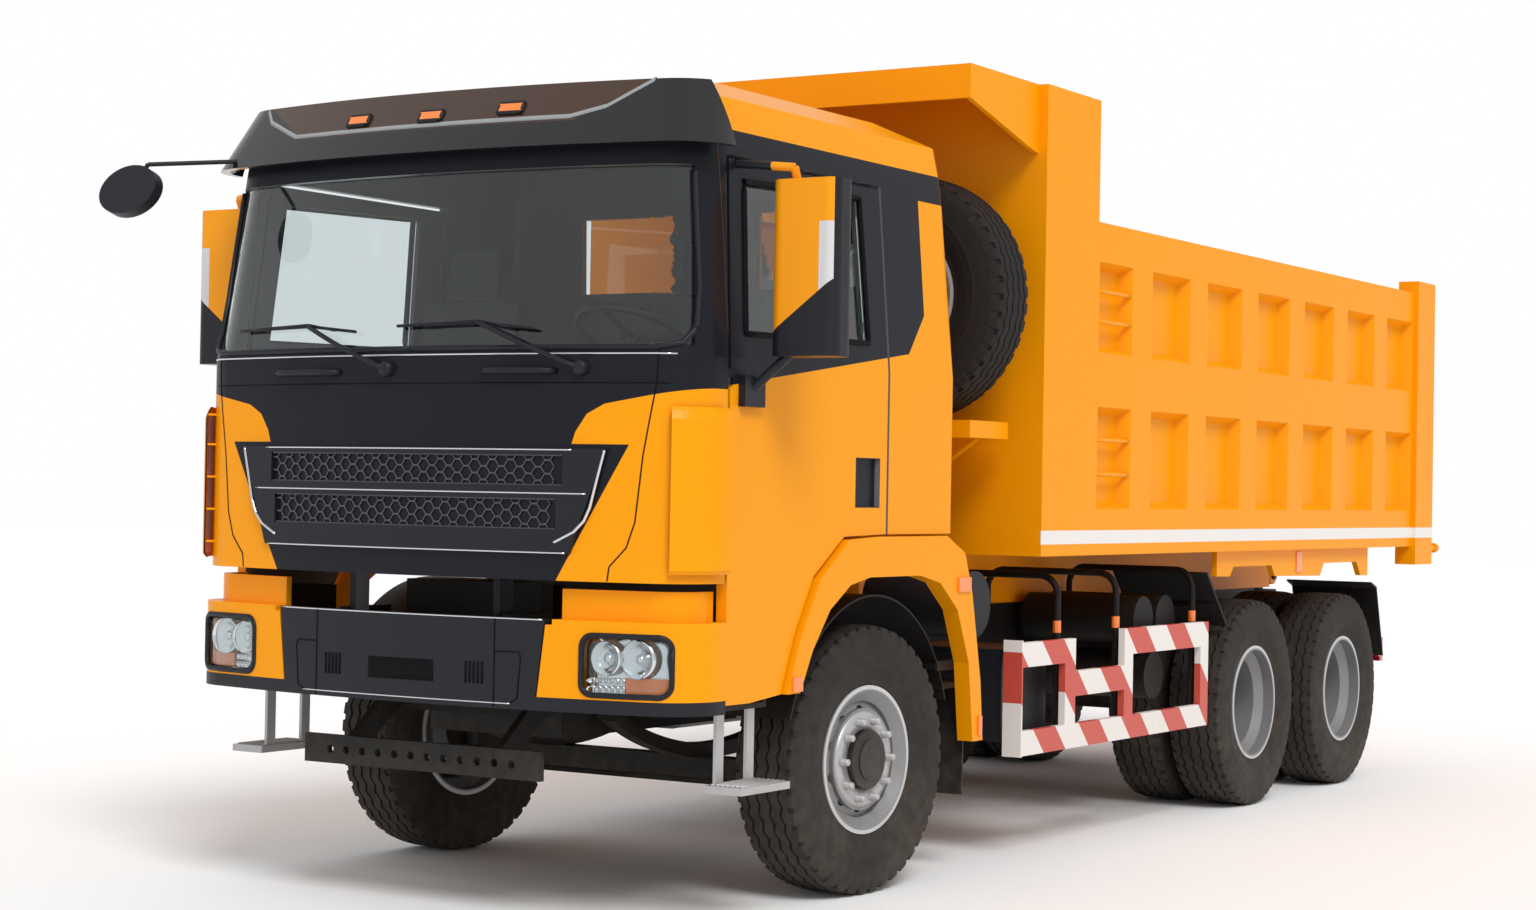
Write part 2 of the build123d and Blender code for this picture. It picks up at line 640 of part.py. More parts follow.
# Side guards: striped rails and posts, and the bent tubes that carry them
guard_x = (1190, 1222)
guard_posts = ((1650, 1760), (2300, 2400), (3230, 3330))
with BuildPart() as side_guards:
    for x in both_sides(guard_x):
        for low, high, y in ((465, 575, (1207, 3330)), (856, 965, (1207, 1760)),
                             (700, 815, (1650, 2400)), (866, 990, (2300, 3330))):
            block(x, (front_axle_y + y[0], front_axle_y + y[1]), (low, high))
        for (start, end), high in zip(guard_posts, (965, 990, 990)):
            block(x, (front_axle_y + start, front_axle_y + end), (465, high))
    for x in both_sides((1130, guard_x[1])):
        block(x, (front_axle_y + 1207, front_axle_y + 1219), (460, 975))
save(side_guards, "side_guards")
hoop_x = (462, 1150)
hoop_z = 1250
with BuildPart() as guard_hoops:
    for side in (1, -1):
        for start, end in guard_posts:
            y = front_axle_y + (start + end) / 2
            with BuildLine() as route:
                FilletPolyline(
                    (side * (frame_half + seat_gap), y, 990), (side * hoop_x[0], y, 990),
                    (side * hoop_x[0], y, hoop_z), (side * hoop_x[1], y, hoop_z),
                    (side * hoop_x[1], y, 480), radius=(20, 90, 90))
            with BuildSketch(Plane(origin=route.line @ 0, z_dir=route.line % 0)) as tube:
                Circle(16)
            sweep(tube.sketch, path=route.line)
            for z in (500, 760):
                x = sorted((side * hoop_x[1], side * (guard_x[0] - seat_gap)))
                block(x, (y - 14, y + 14), (z, z + 40))
save(guard_hoops, "guard_hoops")

# Spare wheel behind the cab, on its rack
spare_centre = (740, front_axle_y + 970, 2480)
spare = Plane(origin=spare_centre, x_dir=(0, 0, 1), z_dir=(0, 1, 0))
with BuildPart() as spare_tyre:
    tyre(spare)
save(spare_tyre, "tyre_spare")
with BuildPart() as spare_rim:
    rim(spare, front_disc, 72, 0)
save(spare_rim, "rim_spare")
post_y = (front_axle_y + 1150, front_axle_y + 1230)
shelf_top_z = spare_centre[2] - tyre_radius - seat_gap
with BuildPart() as spare_rack:
    block((rail_inner + 5, frame_half - 5), post_y, (rail_top_z + seat_gap, spare_centre[2] + 90))
    block((rail_inner + 5, spare_centre[0] + 60), (post_y[0] + 15, post_y[1] - 15),
          (spare_centre[2] - 40, spare_centre[2] + 40))
    face_y = spare_centre[1] + front_disc + seat_gap
    rod((spare_centre[0], face_y, spare_centre[2]), (spare_centre[0], post_y[0] + 20, spare_centre[2]), 40)
    rod((spare_centre[0], face_y, spare_centre[2]), (spare_centre[0], face_y + 18, spare_centre[2]), 110)
    block((rail_inner + 5, 1130), (front_axle_y + 850, post_y[1] - 15), (shelf_top_z - 75, shelf_top_z))
    front_prism([(frame_half - 10, 1450), (frame_half - 10, shelf_top_z - 70), (1000, shelf_top_z - 70)],
                (post_y[0] + 15, post_y[1] - 15))
save(spare_rack, "spare_rack")

# Tail lamps on a cross bar under the rails' ends
bar_y = (front_axle_y + 6060, front_axle_y + 6120)
with BuildPart() as tail_lamps:
    block((-1180, 1180), bar_y, (rail_bottom_z - 90, rail_bottom_z - seat_gap))
    for x in both_sides((720, 1170)):
        block(x, (bar_y[1], bar_y[1] + 50), (rail_bottom_z - 120, rail_bottom_z + 20))
save(tail_lamps, "tail_lamps")


# Cab: one form for every layer of its skin, told apart by how far in it lies
def cab_form(inset, low_z=door_floor_z):
    """The cab's outer shape moved in by an inset: straight to the belt, then leaning in."""
    sections = [
        (low_z, 0, 0, 0), (belt_z, 0, 0, 0), (brow_z, screen_lean, side_tuck, 20),
        (roof_edge_z - inset / 2, screen_lean + 70, side_tuck + 25, 45),
        (roof_z - inset, screen_lean + 330, side_tuck + 210, 230),
    ]
    outlines = [
        plan(z, cab_front_y + front + inset, cab_half - side - inset, cab_rear_y - rear - inset,
             cab_corner_radius - inset, 60 - inset / 2)
        for z, front, side, rear in sections
    ]
    for lower, upper in zip(outlines, outlines[1:]):
        loft([lower.face(), upper.face()], ruled=True)


def along_cab(points):
    """Side view points given from the front axle, moved to the cab's place."""
    return [(front_axle_y + y, z) for y, z in points]


door_edge = along_cab([
    (-1175, 815), (-1175, 2100), (-1120, 2840), (0, 2840), (0, 1450), (-330, 1442), (-560, 1290),
    (-700, 1060), (-788, 850),
])
door_hole = along_cab([
    (-1175 - door_gap, 800), (-1175 - door_gap, 2100), (-1120 - door_gap, 2840 + door_gap),
    (door_gap, 2840 + door_gap), (door_gap, 1400), (door_gap, 800),
])
door_window = along_cab([(-1065, 2195), (-1025, 2765), (-165, 2790), (-150, 2210)])
rear_window_x = (220, 730)
rear_window_z = (2500, 2840)
screen_edge = [(-1160, 2138), (1160, 2138), (1098, 2800), (-1098, 2800)]
door_x = (cab_half - 400, cab_half + 60)
door_hinge_x = cab_half - 10
hinge_low_z = (1500, 2000)
glass_inset = 18
glass_thickness = 5
screen_y = (cab_front_y - 50, front_axle_y - 1190)
rear_wall_y = (cab_rear_y - 120, cab_rear_y + 50)
floor_x = cab_half - cab_wall - 16

with BuildPart() as cab_outer:
    cab_form(0)
with BuildPart() as cab_inner:
    cab_form(cab_wall)
with BuildPart() as cab_skin:
    add(cab_outer.part)
    add(cab_inner.part, mode=Mode.SUBTRACT)
with BuildPart() as cab_floor:
    side_prism(along_cab([
        (-1700, cab_bottom_z), (-300, cab_bottom_z), (-300, cab_rear_bottom_z),
        (700, cab_rear_bottom_z), (700, cab_rear_bottom_z + cab_wall),
        (-345, cab_rear_bottom_z + cab_wall), (-345, cab_bottom_z + cab_wall),
        (-1700, cab_bottom_z + cab_wall),
    ]), (-floor_x, floor_x))
    add(cab_outer.part, mode=Mode.INTERSECT)
with BuildPart() as cab_shell:
    add(cab_skin.part)
    side_prism(along_cab([
        (-1900, 700), (-1900, cab_bottom_z), (-300, cab_bottom_z), (-300, cab_rear_bottom_z),
        (900, cab_rear_bottom_z), (900, 700),
    ]), (-1300, 1300), Mode.SUBTRACT)
    for x in both_sides(door_x):
        side_prism(door_hole, x, Mode.SUBTRACT)
    front_prism(screen_edge, screen_y, Mode.SUBTRACT)
    for x in both_sides(rear_window_x):
        block(x, rear_wall_y, rear_window_z, Mode.SUBTRACT)
    add(cab_floor.part)
    for x in both_sides(tilt_lug_x):
        block(x, (tilt_y - 40, tilt_y + 40), (tilt_z, cab_bottom_z + 5))
        rod((x[0], tilt_y, tilt_z), (x[1], tilt_y, tilt_z), 45)
        rod((x[0] - 1, tilt_y, tilt_z), (x[1] + 1, tilt_y, tilt_z), tilt_pin_radius + pin_gap,
            Mode.SUBTRACT)
    for side in (1, -1):
        for z in hinge_low_z:
            rod((side * door_hinge_x, door_front_y, z), (side * door_hinge_x, door_front_y, z + 30), 10)
            block(sorted((side * (door_hinge_x - 9), side * (door_hinge_x + 9))),
                  (door_front_y - door_gap - 10, door_front_y - 5), (z, z + 30))
save(cab_shell, "cab_shell")

# Cab glass: panes cut from a thin layer halfway through the skin
with BuildPart() as glass_layer:
    cab_form(glass_inset)
with BuildPart() as glass_inside:
    cab_form(glass_inset + glass_thickness)
with BuildPart() as panes:
    front_prism([(x * 0.9997, z + (seat_gap if z < belt_z + 100 else -seat_gap)) for x, z in screen_edge],
                screen_y)
    for x in both_sides((rear_window_x[0] + seat_gap, rear_window_x[1] - seat_gap)):
        block(x, rear_wall_y, (rear_window_z[0] + seat_gap, rear_window_z[1] - seat_gap))
with BuildPart() as cab_glass:
    add(glass_layer.part)
    add(glass_inside.part, mode=Mode.SUBTRACT)
    add(panes.part, mode=Mode.INTERSECT)
save(cab_glass, "cab_glass")

# Doors: the skin inside the door's outline, with its window, grab recess and pane
for_pane = along_cab([(-1064.5, 2195.4), (-1024.6, 2764.6), (-165.3, 2789.6), (-150.4, 2210.4)])
with BuildPart() as door:
    add(cab_skin.part)
    side_prism(door_edge, door_x, Mode.INTERSECT)
    side_prism(door_window, door_x, Mode.SUBTRACT)
    block((cab_half - 22, cab_half + 10), (door_rear_y - 245, door_rear_y - 60), (1560, 1750),
          Mode.SUBTRACT)
    for z in hinge_low_z:
        knuckle_z = z + 30 + seat_gap
        rod((door_hinge_x, door_front_y, z - 5), (door_hinge_x, door_front_y, knuckle_z), 18,
            Mode.SUBTRACT)
        rod((door_hinge_x, door_front_y, knuckle_z), (door_hinge_x, door_front_y, z + 60), 10)
save_pair(door, "door")
with BuildPart() as door_glass:
    add(glass_layer.part)
    add(glass_inside.part, mode=Mode.SUBTRACT)
    side_prism(for_pane, door_x, Mode.INTERSECT)
save_pair(door_glass, "door_glass")

# Door mirrors: a housing on two arms that stand out from the door
mirror_x = (1290, 1570)
mirror_y = (front_axle_y - 1065, front_axle_y - 925)
mirror_z = (2110, 2760)
arm_y = front_axle_y - 1090
with BuildPart() as door_mirror:
    block(mirror_x, mirror_y, mirror_z)
    fillet(door_mirror.edges().filter_by(Axis.Z), 45)
    rod((cab_half - side_tuck + 6.6, arm_y + 20, 2825), (1370, arm_y + 60, 2805), 16)
    rod((1370, arm_y + 60, 2805), (1370, arm_y + 90, 2740), 16)
    block((cab_half + seat_gap, cab_half + 30), (arm_y - 30, arm_y + 110), (1925, 2040))
    rod((cab_half + 15, arm_y + 40, 1990), (1350, arm_y + 90, 2125), 18)
save_pair(door_mirror, "door_mirror")

# Sun visor over the windscreen, a shade that wraps round the cab's front corners
visor_rear_y = front_axle_y - 1200
visor_z = (2872, 3122)


def visor_form(inset):
    """The visor's outer shape moved in by an inset, long at the back for a later cut."""
    long_rear = visor_rear_y + 300
    low = plan(visor_z[0], cab_front_y + 20 + inset, cab_half + 25 - inset, long_rear,
               cab_corner_radius - inset)
    high = plan(visor_z[1], cab_front_y + 165 + inset, cab_half - 55 - inset, long_rear,
                cab_corner_radius - inset)
    loft([low.face(), high.face()], ruled=True)


with BuildPart() as visor_inside:
    visor_form(24)
with BuildPart() as cab_cover:
    cab_form(-seat_gap, belt_z - 10)
with BuildPart() as visor:
    visor_form(0)
    add(visor_inside.part.moved(Location((0, 0, -24))), mode=Mode.SUBTRACT)
    add(cab_cover.part, mode=Mode.SUBTRACT)
    block((-1300, 1300), (visor_rear_y, visor_rear_y + 400), (visor_z[0] - 1, visor_z[1] + 1),
          Mode.SUBTRACT)
save(visor, "visor")

# Grille: a plate that follows the cab's front, with two long rows left open
grille_edge = [(-880, 1758), (880, 1758), (735, 1375), (-735, 1375)]
grille_proud = 16
with BuildPart() as grille:
    cab_form(-grille_proud, cab_bottom_z)
    cab_cover_low = plan(cab_bottom_z, cab_front_y - seat_gap, cab_half, cab_rear_y, cab_corner_radius)
    extrude(cab_cover_low, amount=2200, mode=Mode.SUBTRACT)
    front_prism(grille_edge, (cab_front_y - 60, cab_front_y + 250), Mode.INTERSECT)
    for z, half in ((1622, 705), (1462, 680)):
        block((-half, half), (cab_front_y - 60, cab_front_y + 250), (z, z + 112), Mode.SUBTRACT)
save(grille, "grille")

# Corner vanes: air deflectors that stand off the cab's front corners
vane_z = (1310, 1915)
with BuildPart() as corner_vanes:
    outside = plan(vane_z[0], cab_front_y - 42, cab_half + 42, front_axle_y - 1215, cab_corner_radius + 42)
    inside = plan(vane_z[0], cab_front_y - seat_gap, cab_half + seat_gap, front_axle_y - 1100,
                  cab_corner_radius + seat_gap)
    extrude(outside - inside, amount=vane_z[1] - vane_z[0])
    block((-1130, 1130), (cab_front_y - 100, cab_front_y + 500), (vane_z[0] - 1, vane_z[1] + 1),
          Mode.SUBTRACT)
    for low in (1380, 1505, 1630, 1755):
        block((-1400, 1400), (front_axle_y - 1390, front_axle_y - 1240), (low, low + 80), Mode.SUBTRACT)
save(corner_vanes, "corner_vanes")

# Inside the cab: dashboard, two seats, bunk and steering wheel
with BuildPart() as dashboard:
    side_prism(along_cab([
        (-1600, 1700), (-1600, 2085), (-1240, 2105), (-1020, 2060), (-985, 1910), (-1090, 1700),
    ]), (-floor_x + 20, floor_x - 20))
    add(cab_inner.part, mode=Mode.INTERSECT)
save(dashboard, "dashboard")
seat_x = (350, 860)
seat_floor_z = cab_bottom_z + cab_wall
with BuildPart() as seats:
    for x in both_sides(seat_x):
        block(x, (front_axle_y - 900, front_axle_y - 400), (1640, 1790))
        side_prism(along_cab([(-500, 1700), (-380, 1700), (-300, 2390), (-420, 2390)]), x)
    for x in both_sides((470, 740)):
        side_prism(along_cab([(-415, 2400), (-320, 2400), (-300, 2620), (-395, 2620)]), x)
        side_prism(along_cab([(-380, 2380), (-350, 2380), (-345, 2410), (-375, 2410)]), x)
    for x in both_sides((480, 730)):
        block(x, (front_axle_y - 800, front_axle_y - 480), (seat_floor_z + seat_gap, 1645))
    block((-1050, 1050), (front_axle_y + 20, cab_rear_y - cab_wall - 5),
          (cab_rear_bottom_z + cab_wall + seat_gap, 1860))
save(seats, "seats")
wheel_tilt = Plane(origin=(600, front_axle_y - 930, 2200), z_dir=(0, 0.5, 1))
with BuildPart() as steering_wheel:
    with BuildSketch(Plane(origin=wheel_tilt.origin + wheel_tilt.x_dir * 225, x_dir=wheel_tilt.x_dir,
                           z_dir=wheel_tilt.y_dir)) as grip:
        Circle(16)
    revolve(grip.sketch, axis=Axis(wheel_tilt.origin, wheel_tilt.z_dir))
    with BuildSketch(wheel_tilt.offset(-12)) as spokes:
        Circle(60)
        Rectangle(440, 36)
        with Locations((0, -110)):
            Rectangle(36, 220)
    extrude(spokes.sketch, amount=20)
    end = wheel_tilt.origin - wheel_tilt.z_dir * 330
    rod(tuple(wheel_tilt.origin), tuple(end), 28)
    add(dashboard.part, mode=Mode.SUBTRACT)
save(steering_wheel, "steering_wheel")

# Front mirror on its rod, ahead of the windscreen's right corner
with BuildPart() as front_mirror:
    rod((-1020, front_axle_y - 1395, 2905), (-1240, front_axle_y - 1690, 2870), 9)
    rod((-1240, front_axle_y - 1690, 2872), (-1270, front_axle_y - 1720, 2790), 9)
    with BuildSketch(Plane(origin=(-1270, front_axle_y - 1730, 2750), x_dir=(1, 0, 0),
                           z_dir=(0, -1, 0.35))) as oval:
        Ellipse(150, 105)
    extrude(oval.sketch, amount=45)
    add(visor.part, mode=Mode.SUBTRACT)
save(front_mirror, "front_mirror")

# Bed: ribbed sides, floor on cross bearers, headboard with its canopy, posts and beams
bed_posts_rear = bed_rear_y - rear_post_length
side_rows = ((2285, 2705), (1560, 2032))
gate_pivot_y = bed_rear_y + 38
gate_pivot_z = bed_side_top_z + 20
latch_x = bed_half - 35
latch_z = 1330
latch_end_y = bed_rear_y + 255
with BuildPart() as bed:
    for x in both_sides((bed_inner, bed_half)):
        block(x, (bed_front_y, bed_rear_y), (bed_low_z, bed_side_top_z))
        block(x, (bed_front_y, bed_front_y + front_post_length), (bed_low_z, bed_head_top_z))
    for x in both_sides((bed_inner, bed_half + 30)):
        block(x, (bed_posts_rear, bed_rear_y), (bed_low_z - 110, bed_side_top_z + 70))
    block((-bed_half, bed_half), (bed_front_y, bed_front_y + bed_head), (bed_low_z, bed_head_top_z))
    block((-bed_inner - 1, bed_inner + 1), (bed_front_y, bed_rear_y),
          (bed_floor_z - bed_floor_plate, bed_floor_z))
    bearer_count = 13
    bearer_step = (bed_rear_y - bed_front_y - 120) / (bearer_count - 1)
    for index in range(bearer_count):
        y = bed_front_y + 20 + index * bearer_step
        block((-bed_inner - 1, bed_inner + 1), (y, y + 80), (bed_low_z + 5, bed_floor_z - 1))
    for x in both_sides((rail_inner + 5, frame_half - 5)):
        block(x, (bed_front_y + 40, hinge_y - 60), (rail_top_z + pad_height + seat_gap, bed_low_z + 20))
        block(x, (hinge_y - 70, hinge_y + 70), (hinge_z, bed_low_z + 20))
        rod((x[0], hinge_y, hinge_z), (x[1], hinge_y, hinge_z), 60)
    for x in both_sides((rail_inner, frame_half)):
        rod((x[0], hinge_y, hinge_z), (x[1], hinge_y, hinge_z), hinge_pin_radius + pin_gap,
            Mode.SUBTRACT)
    block((-cab_half, cab_half), (canopy_front_y, bed_front_y + 10),
          (bed_head_top_z - canopy_plate, bed_head_top_z))
    block((-cab_half, cab_half), (canopy_front_y, canopy_front_y + canopy_plate),
          (canopy_lip_z, bed_head_top_z))
    for x in both_sides((cab_half - canopy_plate, cab_half)):
        side_prism(along_cab([(670, bed_head_top_z), (670, canopy_lip_z), (1215, 3166), (1335, 3140),
                              (1335, bed_head_top_z)]), x)
    for side in (1, -1):
        face = Plane(origin=(side * bed_half, 0, 0), x_dir=(0, side, 0), z_dir=(side, 0, 0))
        for low, high in side_rows:
            starts = [bed_front_y + 1180 + pocket_pitch * index for index in range(6)]
            pockets = [(start, start + pocket_length) for start in starts]
            pockets[-1] = (pockets[-1][0], bed_posts_rear - 15)
            pockets.append((bed_front_y + front_post_length + 12, bed_front_y + 946))
            with BuildSketch(face) as outline:
                for start, end in pockets:
                    with Locations((side * (start + end) / 2, (low + high) / 2)):
                        Rectangle(end - start, high - low)
            extrude(outline.sketch, amount=-pocket_depth, taper=28, mode=Mode.SUBTRACT)
    for x in both_sides((cab_half - 30, cab_half)):
        side_prism(along_cab([(3480, 1350), (3480, 1215), (5790, 1180), (5790, 1350)]), x)
    for y in (mid_axle_y, rear_axle_y):
        for x in both_sides((cab_half - 40, cab_half + 10)):
            side_prism([(y - 370, 1150), (y - 270, 1262), (y + 270, 1262), (y + 370, 1150)], x,
                       Mode.SUBTRACT)
    for x in both_sides((bed_inner, bed_inner + 40)):
        block(x, (bed_rear_y - 10, gate_pivot_y), (gate_pivot_z - 45, gate_pivot_z + 45))
        rod((x[0], gate_pivot_y, gate_pivot_z), (x[1], gate_pivot_y, gate_pivot_z), 45)
    for x in both_sides((bed_inner - 65, bed_inner + 20)):
        rod((x[0], gate_pivot_y, gate_pivot_z), (x[1], gate_pivot_y, gate_pivot_z), 18)
    for x in (latch_x, -latch_x):
        rod((x, bed_rear_y - 20, latch_z), (x, latch_end_y - 40, latch_z), 20)
        rod((x, latch_end_y - 45, latch_z), (x, latch_end_y, latch_z), 30)
    eye_y = hoist_y
    for x in both_sides((62, 90)):
        block(x, (eye_y - 60, bed_front_y + 5), (hoist_eye_z - 70, hoist_eye_z + 90))
    block((-90, 90), (eye_y + 160, bed_front_y + 5), (hoist_eye_z - 70, hoist_eye_z + 90))
save(bed, "bed")

# Tailgate, hung from pins in the lugs on top of the rear posts
with BuildPart() as tailgate:
    block((-bed_inner + 5, bed_inner - 5), (bed_rear_y + 6, bed_rear_y + gate_thickness),
          (bed_low_z + 10, bed_side_top_z - 10))
    for x in both_sides((bed_inner - 60, bed_inner - 20)):
        rod((x[0], gate_pivot_y, gate_pivot_z), (x[1], gate_pivot_y, gate_pivot_z), 45)
        block(x, (bed_rear_y + 8, bed_rear_y + 68), (bed_side_top_z - 60, gate_pivot_z))
        rod((x[0] - 1, gate_pivot_y, gate_pivot_z), (x[1] + 1, gate_pivot_y, gate_pivot_z),
            18 + pin_gap, Mode.SUBTRACT)
    for low in (1500, 1900, 2300, 2640):
        block((-bed_inner + 5, bed_inner - 5), (bed_rear_y + gate_thickness - 5,
              bed_rear_y + gate_thickness + 35), (low, low + 90))
save(tailgate, "tailgate")

# Hoist: a telescopic ram that stands between the rails and pushes the headboard's eye
hoist_tops = [hoist_eye_z - 330 + 55 * index for index in range(hoist_stages + 1)]
hoist_bottoms = [hoist_base_z - 50 + 25 * index for index in range(hoist_stages + 1)]
for index in range(hoist_stages + 1):
    radius = hoist_radius - index * (stage_wall + stage_gap)
    with BuildPart() as stage:
        rod((0, hoist_y, hoist_bottoms[index]), (0, hoist_y, hoist_tops[index]), radius)
        if index == 0:
            reach = trunnion_x[1] - 2
            rod((-reach, hoist_y, hoist_base_z), (reach, hoist_y, hoist_base_z), trunnion_radius)
        if index < hoist_stages:
            rod((0, hoist_y, hoist_bottoms[index] + 20), (0, hoist_y, hoist_tops[index] + 1),
                radius - stage_wall, Mode.SUBTRACT)
        else:
            rod((0, hoist_y, hoist_tops[index] - 5), (0, hoist_y, hoist_eye_z - 30), 34)
            rod((-50, hoist_y, hoist_eye_z), (50, hoist_y, hoist_eye_z), 50)
            rod((-60, hoist_y, hoist_eye_z), (60, hoist_y, hoist_eye_z), 25, Mode.SUBTRACT)
    save(stage, "hoist_tube" if index == 0 else f"hoist_stage_{index}")
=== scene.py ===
import bmesh
import bpy
import numpy as np
from mathutils import Matrix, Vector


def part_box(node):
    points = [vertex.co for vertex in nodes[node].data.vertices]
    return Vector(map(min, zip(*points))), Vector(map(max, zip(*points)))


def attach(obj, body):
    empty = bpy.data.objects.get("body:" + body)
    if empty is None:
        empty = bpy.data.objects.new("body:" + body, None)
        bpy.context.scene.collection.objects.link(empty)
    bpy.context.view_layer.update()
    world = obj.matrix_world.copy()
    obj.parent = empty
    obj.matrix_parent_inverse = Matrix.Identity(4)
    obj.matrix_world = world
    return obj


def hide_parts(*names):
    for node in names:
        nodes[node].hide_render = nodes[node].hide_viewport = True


# Tipper truck with its cab over the engine, in metres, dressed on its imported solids.
# The front faces -Y and +X is the truck's left side.
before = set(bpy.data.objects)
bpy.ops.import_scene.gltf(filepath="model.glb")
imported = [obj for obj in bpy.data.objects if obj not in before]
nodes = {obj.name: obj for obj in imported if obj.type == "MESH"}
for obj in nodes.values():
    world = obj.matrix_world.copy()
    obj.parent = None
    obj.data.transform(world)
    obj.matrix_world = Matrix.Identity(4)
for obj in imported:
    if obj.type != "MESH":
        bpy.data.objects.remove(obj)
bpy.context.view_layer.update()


# Floor, light and camera
# A pale studio floor under soft lamps, seen from ahead of the truck's left front corner
# at about a standing person's eye height.
def shader(name):
    """A new material with its Principled shader and its node tree."""
    material = bpy.data.materials.new(name)
    material.use_nodes = True
    tree = material.node_tree
    return material, tree, tree.nodes["Principled BSDF"]


def sheet(name, points, material):
    """A flat four-cornered surface."""
    mesh = bpy.data.meshes.new(name)
    mesh.from_pydata(points, [], [tuple(range(len(points)))])
    mesh.materials.append(material)
    made = bpy.data.objects.new(name, mesh)
    bpy.context.scene.collection.objects.link(made)
    return made


floor_paint, floor_tree, floor_shader = shader("studio_floor")
floor_shader.inputs["Base Color"].default_value = (0.97, 0.97, 0.97, 1)
floor_shader.inputs["Roughness"].default_value = 0.9
floor_half = 60
studio_floor = sheet("studio_floor", [
    (-floor_half, -floor_half, 0), (floor_half, -floor_half, 0),
    (floor_half, floor_half, 0), (-floor_half, floor_half, 0),
], floor_paint)

world = bpy.data.worlds.new("studio")
bpy.context.scene.world = world
world.use_nodes = True
sky = world.node_tree
soft_light = sky.nodes["Background"]
soft_light.inputs["Color"].default_value = (1, 1, 1, 1)
soft_light.inputs["Strength"].default_value = 0.68
backdrop = sky.nodes.new("ShaderNodeBackground")
backdrop.inputs["Color"].default_value = (1, 1, 1, 1)
backdrop.inputs["Strength"].default_value = 1
which_light = sky.nodes.new("ShaderNodeMixShader")
ray = sky.nodes.new("ShaderNodeLightPath")
seen = sky.nodes.new("ShaderNodeMath")
seen.operation = "MAXIMUM"
sky.links.new(ray.outputs["Is Camera Ray"], seen.inputs[0])
sky.links.new(ray.outputs["Is Transmission Ray"], seen.inputs[1])
sky.links.new(seen.outputs[0], which_light.inputs[0])
sky.links.new(soft_light.outputs[0], which_light.inputs[1])
sky.links.new(backdrop.outputs[0], which_light.inputs[2])
sky.links.new(which_light.outputs[0], sky.nodes["World Output"].inputs["Surface"])


def lamp(name, kind, energy, place, target, size):
    """A lamp at a place, aimed at a target; size is its width, or the sun's softness."""
    light = bpy.data.lights.new(name, kind)
    light.energy = energy
    if kind == "SUN":
        light.angle = size
    else:
        light.size = size
    holder = bpy.data.objects.new(name, light)
    aim = np.subtract(target, place)
    depth = -aim / np.linalg.norm(aim)
    across = np.cross((0, 0, 1), depth)
    across /= np.linalg.norm(across)
    rise = np.cross(depth, across)
    turn = np.eye(4)
    turn[:3, :3] = np.stack([across, rise, depth], 1)
    turn[:3, 3] = place
    holder.matrix_world = Matrix(turn.tolist())
    bpy.context.scene.collection.objects.link(holder)


lamp("key", "SUN", 1.75, (6, -5, 9), (0, 0, 1), 0.4)

camera_place = np.array([6.4208, -11.8987, 1.6229])
camera_yaw, camera_pitch, camera_roll = np.radians([31.8875, 0.7403, 1.0236])
photo_width = 1536
focal_pixels = 2645.75
sensor_width = 36
ahead = np.array([
    -np.sin(camera_yaw) * np.cos(camera_pitch), np.cos(camera_yaw) * np.cos(camera_pitch),
    np.sin(camera_pitch),
])
level = np.array([np.cos(camera_yaw), np.sin(camera_yaw), 0])
above = np.cross(level, ahead)
right = level * np.cos(camera_roll) + above * np.sin(camera_roll)
upward = -level * np.sin(camera_roll) + above * np.cos(camera_roll)
view = np.eye(4)
view[:3, :3] = np.stack([right, upward, -ahead], 1)
view[:3, 3] = camera_place
lens = bpy.data.cameras.new("photo_view")
lens.sensor_width = sensor_width
lens.lens = focal_pixels / photo_width * sensor_width
camera = bpy.data.objects.new("photo_view", lens)
camera.matrix_world = Matrix(view.tolist())
bpy.context.scene.collection.objects.link(camera)
bpy.context.scene.camera = camera
bpy.context.scene.view_settings.view_transform = "Standard"


# Finishes that several pieces share
# Paint, plastic, steel and rubber, each with fine grain in its surface and road dust that
# gathers low on the truck, and clear glass.
def node_group(name, inputs, outputs):
    """A shader node group with named sockets; returns it with its input and output nodes."""
    tree = bpy.data.node_groups.new(name, "ShaderNodeTree")
    for label, kind, value in inputs:
        socket = tree.interface.new_socket(label, in_out="INPUT", socket_type=kind)
        if value is not None:
            socket.default_value = value
    for label, kind in outputs:
        tree.interface.new_socket(label, in_out="OUTPUT", socket_type=kind)
    return tree, tree.nodes.new("NodeGroupInput"), tree.nodes.new("NodeGroupOutput")


def math(tree, operation, *values):
    """A Math node; each value is a number or a socket. Returns its result socket."""
    node = tree.nodes.new("ShaderNodeMath")
    node.operation = operation
    for index, value in enumerate(values):
        if isinstance(value, (int, float)):
            node.inputs[index].default_value = value
        else:
            tree.links.new(value, node.inputs[index])
    return node.outputs[0]


def noise(tree, position, scale, detail=3):
    """A noise value between 0 and 1 at a position."""
    node = tree.nodes.new("ShaderNodeTexNoise")
    node.inputs["Scale"].default_value = scale
    node.inputs["Detail"].default_value = detail
    tree.links.new(position, node.inputs["Vector"])
    return node.outputs["Fac"]


